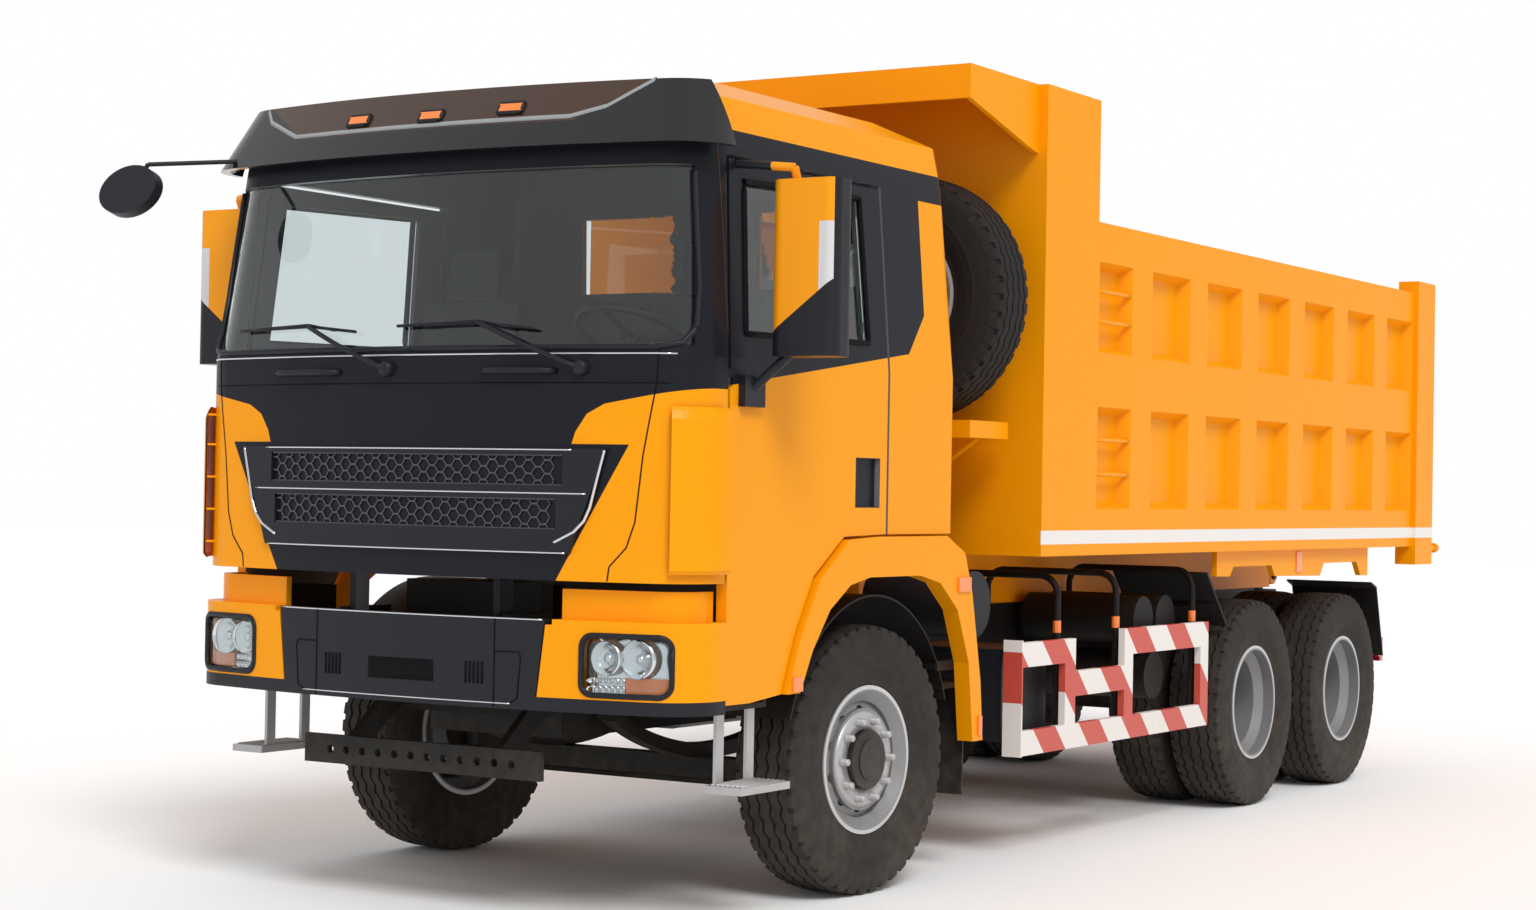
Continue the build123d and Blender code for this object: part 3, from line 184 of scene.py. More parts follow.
# Half-space mask: 1 where the position lies past a plane, with an edge a millimetre wide.
past_plane, plane_in, plane_out = node_group(
    "past_plane",
    [("Position", "NodeSocketVector", None), ("Normal", "NodeSocketVector", None),
     ("Offset", "NodeSocketFloat", 0.0)],
    [("Mask", "NodeSocketFloat")])
dot = past_plane.nodes.new("ShaderNodeVectorMath")
dot.operation = "DOT_PRODUCT"
past_plane.links.new(plane_in.outputs["Position"], dot.inputs[0])
past_plane.links.new(plane_in.outputs["Normal"], dot.inputs[1])
past = math(past_plane, "SUBTRACT", dot.outputs["Value"], plane_in.outputs["Offset"])
past = math(past_plane, "MULTIPLY_ADD", past, 700.0, 0.5)
past = math(past_plane, "MINIMUM", math(past_plane, "MAXIMUM", past, 0.0), 1.0)
past_plane.links.new(past, plane_out.inputs["Mask"])

# Mirrored position: the same place on the left side, so that one mask serves both sides.
same_side, side_in, side_out = node_group(
    "same_side", [("Position", "NodeSocketVector", None)], [("Position", "NodeSocketVector")])
split = same_side.nodes.new("ShaderNodeSeparateXYZ")
merge = same_side.nodes.new("ShaderNodeCombineXYZ")
same_side.links.new(side_in.outputs["Position"], split.inputs[0])
same_side.links.new(math(same_side, "ABSOLUTE", split.outputs["X"]), merge.inputs["X"])
same_side.links.new(split.outputs["Y"], merge.inputs["Y"])
same_side.links.new(split.outputs["Z"], merge.inputs["Z"])
same_side.links.new(merge.outputs[0], side_out.inputs["Position"])

# Road dust: patchy, strongest near the ground and gone at the height given.
road_dust, dust_in, dust_out = node_group(
    "road_dust",
    [("Position", "NodeSocketVector", None), ("Height", "NodeSocketFloat", 1.0),
     ("Amount", "NodeSocketFloat", 0.3)],
    [("Mask", "NodeSocketFloat")])
height = road_dust.nodes.new("ShaderNodeSeparateXYZ")
road_dust.links.new(dust_in.outputs["Position"], height.inputs[0])
low = math(road_dust, "SUBTRACT", 1.0,
           math(road_dust, "DIVIDE", height.outputs["Z"], dust_in.outputs["Height"]))
low = math(road_dust, "MAXIMUM", low, 0.08)
patch = math(road_dust, "MULTIPLY", noise(road_dust, dust_in.outputs["Position"], 2.7, 5),
             noise(road_dust, dust_in.outputs["Position"], 19.0, 4))
patch = math(road_dust, "MULTIPLY", patch, math(road_dust, "MULTIPLY", low, 4.0))
patch = math(road_dust, "MULTIPLY", patch, dust_in.outputs["Amount"])
road_dust.links.new(math(road_dust, "MINIMUM", patch, 1.0), dust_out.inputs["Mask"])

# Fine grain: a height for the bump of a moulded, cast or sprayed surface.
fine_grain, grain_in, grain_out = node_group(
    "fine_grain",
    [("Position", "NodeSocketVector", None), ("Scale", "NodeSocketFloat", 300.0)],
    [("Height", "NodeSocketFloat")])
speckle = fine_grain.nodes.new("ShaderNodeTexNoise")
speckle.inputs["Detail"].default_value = 4
fine_grain.links.new(grain_in.outputs["Position"], speckle.inputs["Vector"])
fine_grain.links.new(grain_in.outputs["Scale"], speckle.inputs["Scale"])
fine_grain.links.new(speckle.outputs["Fac"], grain_out.inputs["Height"])


def placed(tree, group, **values):
    """A group node with its named inputs set to numbers, vectors or sockets."""
    node = tree.nodes.new("ShaderNodeGroup")
    node.node_tree = group
    for label, value in values.items():
        if isinstance(value, bpy.types.NodeSocket):
            tree.links.new(value, node.inputs[label])
        else:
            node.inputs[label].default_value = value
    return node.outputs[0]


def blended(tree, mask, below, over):
    """Two colours mixed by a mask; each is a colour or a socket. Returns the colour socket."""
    node = tree.nodes.new("ShaderNodeMix")
    node.data_type = "RGBA"
    tree.links.new(mask, node.inputs["Factor"])
    for socket, value in ((node.inputs[6], below), (node.inputs[7], over)):
        if isinstance(value, bpy.types.NodeSocket):
            tree.links.new(value, socket)
        else:
            socket.default_value = (*value, 1)
    return node.outputs[2]


def position(tree):
    """The place on the object, in its own metres."""
    return tree.nodes.new("ShaderNodeTexCoord").outputs["Object"]


dust_colour = (0.30, 0.25, 0.19)


def finish(name, colour, roughness, grain=300.0, bump=0.08, dust=0.3, dust_height=1.0,
           metallic=0.0, coat=0.0, colour_from=None, rough_over=0.25, gloss=0.5):
    """A material of one finish: its colour, or what colour_from makes of the node tree, under
    road dust, with grain in its surface."""
    material, tree, surface = shader(name)
    place = position(tree)
    if colour_from:
        colour = colour_from(tree, place)
    dirt = placed(tree, road_dust, Position=place, Height=dust_height, Amount=dust)
    tree.links.new(blended(tree, dirt, colour, dust_colour), surface.inputs["Base Color"])
    rough = math(tree, "MULTIPLY_ADD", dirt, rough_over, roughness)
    tree.links.new(rough, surface.inputs["Roughness"])
    surface.inputs["Metallic"].default_value = metallic
    surface.inputs["Coat Weight"].default_value = coat
    surface.inputs["Specular IOR Level"].default_value = gloss
    surface.inputs["Coat Roughness"].default_value = 0.06
    raised = tree.nodes.new("ShaderNodeBump")
    raised.inputs["Strength"].default_value = bump
    raised.inputs["Distance"].default_value = 0.002
    tree.links.new(placed(tree, fine_grain, Position=place, Scale=grain), raised.inputs["Height"])
    tree.links.new(raised.outputs[0], surface.inputs["Normal"])
    return material


yellow = (0.90, 0.325, 0.001)
black = (0.010, 0.011, 0.016)
yellow_paint = finish("yellow_paint", yellow, 0.3, grain=160.0, bump=0.02, dust=0.008, coat=0.04,
                      gloss=0.12)
black_plastic = finish("black_plastic", black, 0.45, grain=700.0, bump=0.1, dust=0.03, gloss=0.28)
black_steel = finish("black_steel", (0.006, 0.006, 0.0065), 0.5, grain=220.0, dust=0.16, gloss=0.2)
silver_paint = finish("silver_paint", (0.50, 0.50, 0.51), 0.4, metallic=0.4, dust=0.25)
mesh_grey = finish("mesh_grey", (0.085, 0.088, 0.095), 0.4, metallic=0.3, dust=0.03)
seam_black = finish("seam_black", (0.004, 0.004, 0.005), 0.6, dust=0.0, gloss=0.1)
tank_metal = finish("tank_metal", (0.42, 0.43, 0.44), 0.33, metallic=0.9, dust=0.3)
bright_trim = finish("bright_trim", (0.72, 0.73, 0.75), 0.16, metallic=1.0, bump=0.01, dust=0.03)
rubber = finish("rubber", (0.014, 0.012, 0.012), 0.75, grain=260.0, bump=0.18, dust=0.12,
                dust_height=1.6, gloss=0.25)
cloth = finish("seat_cloth", (0.055, 0.057, 0.062), 0.85, grain=900.0, bump=0.4, dust=0.0)
dash_plastic = finish("dash_plastic", (0.06, 0.063, 0.07), 0.6, grain=600.0, bump=0.25, dust=0.0)
amber = finish("amber_lens", (0.95, 0.22, 0.02), 0.15, bump=0.01, dust=0.02, coat=0.8)
red_lens = finish("red_lens", (0.42, 0.012, 0.01), 0.18, bump=0.01, dust=0.05, coat=0.8)
glass, glass_tree, glass_shader = shader("window_glass")
glass_shader.inputs["Base Color"].default_value = (0.80, 0.85, 0.86, 1)
glass_shader.inputs["Roughness"].default_value = 0.0
glass_shader.inputs["IOR"].default_value = 1.45
glass_shader.inputs["Transmission Weight"].default_value = 1.0


def dress(material, *names):
    """Gives each named node of the model a material."""
    for name in names:
        for slot in nodes[name].material_slots:
            slot.material = material


dress(yellow_paint, "bumper_ends", "wheel_arches", "tailgate", "spare_rack")
dress(black_plastic, "bumper_centre", "steering_wheel", "front_mirror", "grille", "air_cleaner",
      "battery_box")
dress(black_steel, "frame", "under_run_beam", "mudguards", "air_tanks", "guard_hoops",
      "front_axle", "leaf_springs", "drive_axles", "engine", "knuckle_left", "knuckle_right",
      "tie_rod", "hoist_tube")
dress(silver_paint, "steps")
dress(tank_metal, "fuel_tank")
dress(bright_trim, "hoist_stage_1", "hoist_stage_2", "hoist_stage_3")
dress(cloth, "seats")
dress(dash_plastic, "dashboard")
dress(red_lens, "tail_lamps")
dress(glass, "cab_glass", "door_glass_left", "door_glass_right")

# Cab skin and doors
# Pressed steel in yellow enamel, with a satin black band round the windows and below the
# windscreen. The doors carry the same bands across their gaps.
axle_y = sum(corner.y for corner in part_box("front_axle")) / 2
cab_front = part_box("cab_shell")[0].y


def region(tree, place, *planes):
    """A mask that is 1 where every plane, given as a normal and an offset, is passed."""
    mask = None
    for normal, offset in planes:
        part = placed(tree, past_plane, Position=place, Normal=normal, Offset=offset)
        mask = part if mask is None else math(tree, "MULTIPLY", mask, part)
    return mask


def through(a, b, inside):
    """The plane through two points of a front (x, z) or side (y, z) view, kept on the side
    of a third point; each point is ((axis, value), z)."""
    (axis, first), low_z = a
    (_, second), high_z = b
    across = np.array([high_z - low_z, first - second])
    across /= np.linalg.norm(across)
    offset = across @ (first, low_z)
    if across @ (inside[0], inside[1]) < offset:
        across, offset = -across, -offset
    normal = (across[0], 0, across[1]) if axis == "x" else (0, across[0], across[1])
    return tuple(float(value) for value in normal), float(offset)


def cab_colours(tree, place):
    """Yellow with its black bands outside, and grey lining inside."""
    here = placed(tree, same_side, Position=place)
    ahead_of_doors = ((0, -1, 0), -(axle_y - 1.184))
    behind_pillar = ((0, 1, 0), axle_y - 1.184)
    shoulder = region(tree, here,
                      through((("x", 1.2), 1.984), (("x", 0.86), 1.922), (1, 1)),
                      through((("x", 0.86), 1.922), (("x", 0.79), 1.885), (1, 1)),
                      through((("x", 0.79), 1.885), (("x", 0.745), 1.82), (1, 1)),
                      through((("x", 0.745), 1.82), (("x", 0.722), 1.75), (1, 1)))
    hood = region(tree, here, ahead_of_doors, ((0, 0, 1), 1.755), ((0, 0, -1), -2.95))
    hood = math(tree, "MULTIPLY", hood, math(tree, "SUBTRACT", 1.0, shoulder))
    tray = region(tree, here, ahead_of_doors, ((0, 0, -1), -1.775),
                  through((("x", 0.672), 1.27), (("x", 0.74), 1.39), (0, 1.5)))
    grille_back = region(tree, here, ahead_of_doors, ((0, 0, -1), -1.755), ((0, 0, 1), 1.37),
                         through((("x", 0.733), 1.375), (("x", 0.87), 1.75), (0, 1.6)))
    window_band = region(tree, here, behind_pillar,
                         through((("y", axle_y - 1.175), 2.0), (("y", axle_y), 2.16),
                                 (axle_y - 0.5, 2.5)),
                         through((("y", axle_y + 0.16), 2.16), (("y", axle_y + 0.32), 2.34),
                                 (axle_y - 0.5, 2.5)),
                         ((0, 0, -1), -2.95), ((0, -1, 0), -(axle_y + 0.33)))
    handle = region(tree, here, ((1, 0, 0), 1.1), ((0, 1, 0), axle_y - 0.25),
                    ((0, -1, 0), -(axle_y - 0.055)), ((0, 0, 1), 1.556), ((0, 0, -1), -1.754))
    roof_band = region(tree, here, behind_pillar, ((0, 0, 1), 2.83), ((0, 0, -1), -2.95))
    dark = hood
    for mask in (grille_back, tray, window_band, roof_band, handle):
        dark = math(tree, "MAXIMUM", dark, mask)
    tone = blended(tree, dark, yellow, black)
    facing = tree.nodes.new("ShaderNodeTexCoord").outputs["Normal"]
    from_middle = tree.nodes.new("ShaderNodeVectorMath")
    from_middle.operation = "SUBTRACT"
    tree.links.new(place, from_middle.inputs[0])
    from_middle.inputs[1].default_value = (0, axle_y - 0.5, 2.15)
    outward = tree.nodes.new("ShaderNodeVectorMath")
    outward.operation = "DOT_PRODUCT"
    tree.links.new(facing, outward.inputs[0])
    tree.links.new(from_middle.outputs[0], outward.inputs[1])
    inside = math(tree, "LESS_THAN", outward.outputs["Value"], 0.0)
    lining = (0.17, 0.175, 0.18)
    return blended(tree, inside, tone, lining)


cab_enamel = finish("cab_enamel", yellow, 0.3, grain=160.0, bump=0.02, dust=0.008, coat=0.04,
                    colour_from=cab_colours, gloss=0.14)
dress(cab_enamel, "cab_shell", "door_left", "door_right")

# Visor
# Smoked plastic over the windscreen, black and glossy along its lower half.
def visor_colours(tree, place):
    """Smoky brown above, black below a line that rises at both ends."""
    here = placed(tree, same_side, Position=place)
    low = region(tree, here, ((0, 0, -1), -2.968))
    ends = region(tree, here, through((("x", 0.66), 2.968), (("x", 0.95), 3.13), (1.2, 2.9)))
    return blended(tree, math(tree, "MAXIMUM", low, ends), (0.05, 0.022, 0.013), (0.006, 0.006, 0.007))


smoked = finish("smoked_plastic", black, 0.16, bump=0.01, dust=0.02, coat=0.4,
                colour_from=visor_colours, gloss=0.4)
dress(smoked, "visor")


# Door mirrors
# Yellow housings with a black back, a black lower part cut at a slant and a pale insert.
def mirror_colours(tree, place):
    """Black, with the yellow front and the pale insert near its outer edge."""
    here = placed(tree, same_side, Position=place)
    front = region(tree, here, ((0, -1, 0), -(axle_y - 0.985)), ((1, 0, 0), 1.285),
                   ((-1, 0, 0), -1.556), ((0, 0, 1), 2.1),
                   through((("x", 1.29), 2.19), (("x", 1.57), 2.40), (1.4, 2.7)))
    insert = region(tree, here, ((0, -1, 0), -(axle_y - 0.985)), ((1, 0, 0), 1.5),
                    ((-1, 0, 0), -1.556), ((0, 0, -1), -2.60),
                    through((("x", 1.29), 2.19), (("x", 1.57), 2.40), (1.4, 2.7)))
    tone = blended(tree, front, black, yellow)
    return blended(tree, insert, tone, (0.62, 0.62, 0.63))


mirror_plastic = finish("mirror_plastic", black, 0.35, bump=0.03, dust=0.02,
                        colour_from=mirror_colours, gloss=0.3)
dress(mirror_plastic, "door_mirror_left", "door_mirror_right")


# Bed
# Welded steel in the cab's enamel, with a white reflecting strip along its lower edge.
def bed_colours(tree, place):
    """Yellow with the white strip on both sides."""
    here = placed(tree, same_side, Position=place)
    strip = region(tree, here, ((1, 0, 0), 1.241), ((0, 0, 1), 1.398), ((0, 0, -1), -1.46))
    return blended(tree, strip, yellow, (0.80, 0.77, 0.74))


bed_enamel = finish("bed_enamel", yellow, 0.36, grain=120.0, bump=0.03, dust=0.01, coat=0.02,
                    colour_from=bed_colours, gloss=0.12)
dress(bed_enamel, "bed")


# Side guards
# Steel bars under red and white reflecting film, striped at a slant.
def guard_colours(tree, place):
    """Slanted stripes: a wave of the place along the truck plus its height."""
    here = tree.nodes.new("ShaderNodeSeparateXYZ")
    tree.links.new(place, here.inputs[0])
    along = math(tree, "MULTIPLY_ADD", here.outputs["Z"], 1.0, here.outputs["Y"])
    phase = math(tree, "FRACT", math(tree, "DIVIDE", along, 0.47))
    red = math(tree, "GREATER_THAN", phase, 0.52)
    return blended(tree, red, (0.80, 0.76, 0.72), (0.58, 0.07, 0.045))


guard_film = finish("guard_film", (0.8, 0.8, 0.8), 0.4, dust=0.12, colour_from=guard_colours)
dress(guard_film, "side_guards")


# Tyres
# Steel-belted rubber: zigzag grooves between the ribs, notched shoulders, smooth sidewalls.
def wall(grid, around=True, across=False):
    """A mesh from a grid of points, joined to its start around or across where asked."""
    rows, columns = grid.shape[:2]
    index = np.arange(rows * columns).reshape(rows, columns)
    if around:
        index = np.concatenate([index, index[:1]])
    if across:
        index = np.concatenate([index, index[:, :1]], axis=1)
    faces = np.stack([index[:-1, :-1], index[1:, :-1], index[1:, 1:], index[:-1, 1:]], -1)
    return grid.reshape(-1, 3), [tuple(face) for face in faces.reshape(-1, 4).tolist()]


def piece(name, shapes, body, material, slot, smooth=True, outwards=True):
    """One object from several (points, faces) shapes, riding on a body."""
    start = 0
    points, faces = [], []
    for shape_points, shape_faces in shapes:
        points.append(shape_points)
        faces += [tuple(corner + start for corner in face) for face in shape_faces]
        start += len(shape_points)
    mesh = bpy.data.meshes.new(name)
    mesh.from_pydata(np.concatenate(points).tolist(), [], faces)
    if outwards:
        shell = bmesh.new()
        shell.from_mesh(mesh)
        bmesh.ops.remove_doubles(shell, verts=shell.verts, dist=1e-6)
        bmesh.ops.recalc_face_normals(shell, faces=shell.faces)
        shell.to_mesh(mesh)
        shell.free()
    mesh.materials.append(material)
    if smooth:
        mesh.shade_smooth()
    made = bpy.data.objects.new(name, mesh)
    bpy.context.scene.collection.objects.link(made)
    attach(made, body)
    return made


tyre_outer = 0.5425
bead_radius = 0.2990
tread_half = 0.128
pitches = 44


def tyre(centre, axle):
    """Points and faces of a tyre. The section is a list of (radius, offset) lines, and each
    line is turned about the axle; groove lines swing from side to side once a pitch, and
    shoulder lines drop into a notch over part of each pitch."""
    fractions = np.array([0.0, 0.05, 0.33, 0.38, 0.5, 0.75])
    phase = (np.arange(pitches)[:, None] + fractions).ravel()
    turn = 2 * np.pi * phase / pitches
    swing = 0.007 * (2 * np.abs(2 * (phase % 1) - 1) - 1)
    notch = ((phase % 1 > 0.04) & (phase % 1 < 0.35)) * 0.012
    lines = []
    for middle in (-0.078, -0.027, 0.027, 0.078):
        for offset, depth in ((-0.0065, 0), (-0.004, 0.014), (0.004, 0.014), (0.0065, 0)):
            lines.append((tyre_outer - 0.003 * (middle / tread_half) ** 2 - depth,
                          middle + offset, 1, 0))
    shoulder = [(tyre_outer - 0.004, tread_half - 0.02, 0, 0), (tyre_outer - 0.005, tread_half - 0.018, 0, 1),
                (tyre_outer - 0.008, tread_half + 0.002, 0, 1), (0.515, 0.138, 0, 0.75),
                (0.498, 0.143, 0, 0.25), (0.494, 0.1435, 0, 0)]
    side = [(0.455, 0.148, 0, 0), (0.415, 0.15, 0, 0), (0.412, 0.1512, 0, 0), (0.405, 0.1512, 0, 0),
            (0.402, 0.1495, 0, 0), (0.37, 0.144, 0, 0), (0.34, 0.133, 0, 0), (0.318, 0.124, 0, 0),
            (0.31, 0.124, 0, 0), (bead_radius, 0.119, 0, 0), (bead_radius, 0.09, 0, 0)]
    inner = [(0.4, 0.12, 0, 0), (0.498, 0.08, 0, 0)]
    half = shoulder + side + inner
    other = [(radius, -offset, shift, cut) for radius, offset, shift, cut in reversed(half)]
    section = np.array(lines + half + other)
    radius = section[:, 0] - notch[:, None] * section[:, 3]
    offset = section[:, 1] + swing[:, None] * section[:, 2]
    axle = np.asarray(axle, float)
    first = np.cross(axle, (0, 0, 1.0)) if abs(axle[2]) < 0.9 else np.array([1.0, 0, 0])
    first /= np.linalg.norm(first)
    second = np.cross(axle, first)
    radial = np.cos(turn)[:, None] * first + np.sin(turn)[:, None] * second
    grid = np.asarray(centre) + radial[:, None] * radius[..., None] + axle * offset[..., None]
    return wall(grid, across=True)


def middle(name):
    """The centre of a node's box."""
    low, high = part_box(name)
    return np.array((low + high) / 2)


steer = np.radians(5)
front_axis = (np.cos(steer), -np.sin(steer), 0)
for side in ("left", "right"):
    tread = piece(f"tread_front_{side}", [tyre(middle(f"tyre_front_{side}"), front_axis)],
                  f"wheel_front_{side}", rubber, "tyre", smooth=False)
    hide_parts(f"tyre_front_{side}")
    for axle in ("mid", "rear"):
        centre = middle(f"tyres_{axle}_{side}")
        twin = [tyre(centre + (shift, 0, 0), (1, 0, 0)) for shift in (-0.17, 0.17)]
        tread = piece(f"treads_{axle}_{side}", twin, f"wheels_{axle}_{side}", rubber, "tyre",
                      smooth=False)
        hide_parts(f"tyres_{axle}_{side}")
spare = piece("tread_spare", [tyre(middle("tyre_spare"), (0, 1, 0))], "chassis", rubber, "tyre",
              smooth=False)
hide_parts("tyre_spare")


# Wheels
# Silver rims with dark hand holes and black hubs; long studs stand on a plate in front.
from_axle, axle_in, axle_out = node_group(
    "from_axle",
    [("Position", "NodeSocketVector", None), ("Centre", "NodeSocketVector", None),
     ("Axle", "NodeSocketVector", None)],
    [("Distance", "NodeSocketFloat")])
arm = from_axle.nodes.new("ShaderNodeVectorMath")
arm.operation = "SUBTRACT"
from_axle.links.new(axle_in.outputs["Position"], arm.inputs[0])
from_axle.links.new(axle_in.outputs["Centre"], arm.inputs[1])
square = from_axle.nodes.new("ShaderNodeVectorMath")
square.operation = "CROSS_PRODUCT"
from_axle.links.new(arm.outputs[0], square.inputs[0])
from_axle.links.new(axle_in.outputs["Axle"], square.inputs[1])
size = from_axle.nodes.new("ShaderNodeVectorMath")
size.operation = "LENGTH"
from_axle.links.new(square.outputs[0], size.inputs[0])
from_axle.links.new(size.outputs["Value"], axle_out.inputs["Distance"])


def rim_finish(name, centre, axis, hub, lip):
    """Silver paint whose hub is black and whose outer lip is brighter, a painted highlight where
    the flange catches the light, told by how far a place lies from the axle."""
    def colours(tree, place):
        away = placed(tree, from_axle, Position=place, Centre=centre, Axle=axis)
        tone = blended(tree, math(tree, "LESS_THAN", away, hub), (0.25, 0.255, 0.27),
                       (0.008, 0.008, 0.009))
        # Painted highlight: the outer lip is lighter than the rest of the same silver paint.
        return blended(tree, math(tree, "GREATER_THAN", away, lip), tone, (0.60, 0.61, 0.62))
    return finish(name, black, 0.42, metallic=0.35, dust=0.25, colour_from=colours)


def lathe(centre, axis, profile, count=28):
    """A turned shape: a profile of (radius, offset) points turned about an axis."""
    axis = np.asarray(axis, float)
    first = np.cross(axis, (0, 0, 1.0)) if abs(axis[2]) < 0.9 else np.array([1.0, 0, 0])
    first /= np.linalg.norm(first)
    second = np.cross(axis, first)
    turn = np.linspace(0, 2 * np.pi, count, endpoint=False)[:, None, None]
    profile = np.asarray(profile, float)
    radius, offset = profile[:, :1], profile[:, 1:]
    grid = np.asarray(centre) + (np.cos(turn) * first + np.sin(turn) * second) * radius + axis * offset
    return wall(grid)


stud_count = 10
stud_circle = 0.16
plate_profile = [(0.124, 0.1), (0.124, 0.113), (0.18, 0.113), (0.192, 0.106), (0.198, 0.09)]
stud_profile = [(0.019, 0.11), (0.019, 0.121), (0.0145, 0.125), (0.0145, 0.146), (0.009, 0.151),
                (0, 0.152)]
for side, way in (("left", 1), ("right", -1)):
    centre = middle(f"tyre_front_{side}")
    axis = np.array(front_axis) * way
    dress(rim_finish(f"rim_front_{side}", centre, front_axis, 0.1205, 0.283), f"rim_front_{side}")
    first = np.cross(axis, (0, 0, 1.0))
    turn = 2 * np.pi * np.arange(stud_count) / stud_count
    feet = centre + stud_circle * (np.cos(turn)[:, None] * first + np.sin(turn)[:, None] * (0, 0, 1))
    studs = [lathe(foot, axis, stud_profile, 12) for foot in feet]
    studs.append(lathe(centre, axis, plate_profile, 48))
    piece(f"studs_{side}", studs, f"wheel_front_{side}", silver_paint, "rim")
    for axle in ("mid", "rear"):
        dress(rim_finish(f"rims_{axle}_{side}", middle(f"tyres_{axle}_{side}"), (1, 0, 0), 0.125,
                         0.285), f"rims_{axle}_{side}")
dress(rim_finish("rim_spare", middle("tyre_spare"), (0, 1, 0), 0.11, 0.285), "rim_spare")


# Grille
# Two long rows of stretched hexagons in grey wire, under bright metal lines along its edges and between its rows; the
# edges are real, and their brightness is a painted highlight where they catch the light.
def skin(x, front, half, corner=0.23, bow=5.0):
    """Y of a bowed front at x: a wide arc, then a round corner that meets it smoothly."""
    x = np.abs(x)
    centre_y = bow - np.sqrt((bow - corner) ** 2 - (half - corner) ** 2)
    start = (half - corner) * bow / (bow - corner)
    flat = bow - np.sqrt(bow ** 2 - np.minimum(x, start) ** 2)
    turn = centre_y - np.sqrt(corner ** 2 - np.clip(x - half + corner, 0, corner) ** 2)
    return front + np.where(x < start, flat, turn)


def cab_skin(x, z):
    """Y of the cab's front at x and z, which leans back and tucks in above the belt."""
    levels = [2.1, 2.9, 3.07, 3.165]
    return skin(x, cab_front + np.interp(z, levels, [0, 0.11, 0.18, 0.44]),
                1.2 - np.interp(z, levels, [0, 0.065, 0.09, 0.275]))


def on_front(points, proud, steps=12, surface=cab_skin):
    """A line over a front surface through (x, z) points, standing proud of it."""
    points = np.asarray(points, float)
    place = np.linspace(0, len(points) - 1, (len(points) - 1) * steps + 1)
    x = np.interp(place, np.arange(len(points)), points[:, 0])
    z = np.interp(place, np.arange(len(points)), points[:, 1])
    return np.stack([x, surface(x, z) - proud, z], 1)


def tube(path, radius, sides=8):
    """A round bar: a ring of points square to the path at each of its points, ends closed."""
    path = np.asarray(path, float)
    run = np.gradient(path, axis=0)
    run /= np.linalg.norm(run, axis=1, keepdims=True)
    first = np.cross(run, (0.21, 0.37, 0.9))
    first /= np.linalg.norm(first, axis=1, keepdims=True)
    second = np.cross(run, first)
    turn = (np.arange(sides) * 2 * np.pi / sides)[:, None, None]
    grid = path + radius * (np.cos(turn) * first + np.sin(turn) * second)
    points, faces = wall(grid)
    count = len(path)
    ends = np.arange(sides) * count
    return points, faces + [tuple(ends.tolist()), tuple((ends + count - 1)[::-1].tolist())]


def mirrored(shape):
    """The same shape on the other side of the truck."""
    points, faces = shape
    return points * (-1, 1, 1), faces


def flipped(points):
    """(x, z) points with x turned to the other side."""
    return [(-x, z) for x, z in points]


wires = []
for low, high, half in ((1.628, 1.728, 0.7), (1.468, 1.568, 0.675)):
    levels = np.linspace(low, high, 5)
    pitch = 0.078
    rise = (high - low) / 9
    for index, level in enumerate(levels):
        steps = np.arange(int(4 * half / pitch) * 2 + 1)
        x = -half + steps // 2 * pitch / 2 + steps % 2 * pitch * 0.3
        z = level + ((steps // 2 + index) % 2 * 2 - 1) * rise
        keep = x < half
        x, z = x[keep], z[keep]
        wires.append(tube(np.stack([x, cab_skin(x, z) - 0.006, z], 1), 0.0026, 4))
    for level in (low - 0.006, high + 0.006):
        wires.append(tube(on_front([(-half, level), (half, level)], 0.008, 40), 0.005, 6))
piece("grille_mesh", wires, "cab", mesh_grey, "trim", smooth=False)
# Painted highlight: bright metal lines laid along the grille's edges and between its rows, where those edges catch the
# light.
edge = [(0.872, 1.752), (0.845, 1.65), (0.818, 1.545), (0.795, 1.495), (0.755, 1.455), (0.675, 1.415)]
lines = [tube(on_front(edge, 0.015), 0.006), tube(on_front(flipped(edge), 0.015), 0.006)]
for half, level in ((0.74, 1.753), (0.80, 1.594), (0.72, 1.377)):
    lines.append(tube(on_front([(-half, level), (half, level)], 0.014, 60), 0.0035, 6))
piece("grille_edge_highlights", lines, "cab", bright_trim, "trim")

# Seams
# Dark lines where the cab's front panels meet.
corner_seam = [(1.062, 2.12), (1.058, 2.0), (1.012, 1.734), (0.986, 1.496), (0.954, 1.402),
               (0.889, 1.332), (0.882, 1.28)]
seams = [tube(on_front(corner_seam, 0.0), 0.003, 6), tube(on_front(flipped(corner_seam), 0.0), 0.003, 6),
         tube(on_front([(-1.1, 1.998), (1.1, 1.998)], 0.0, 80), 0.0025, 6)]
piece("cab_seams", seams, "cab", seam_black, "trim")
line = on_front([(-1.12, 2.105), (1.12, 2.105)], 0.002, 80)
piece("screen_line", [tube(line, 0.004, 6)], "cab", bright_trim, "trim")

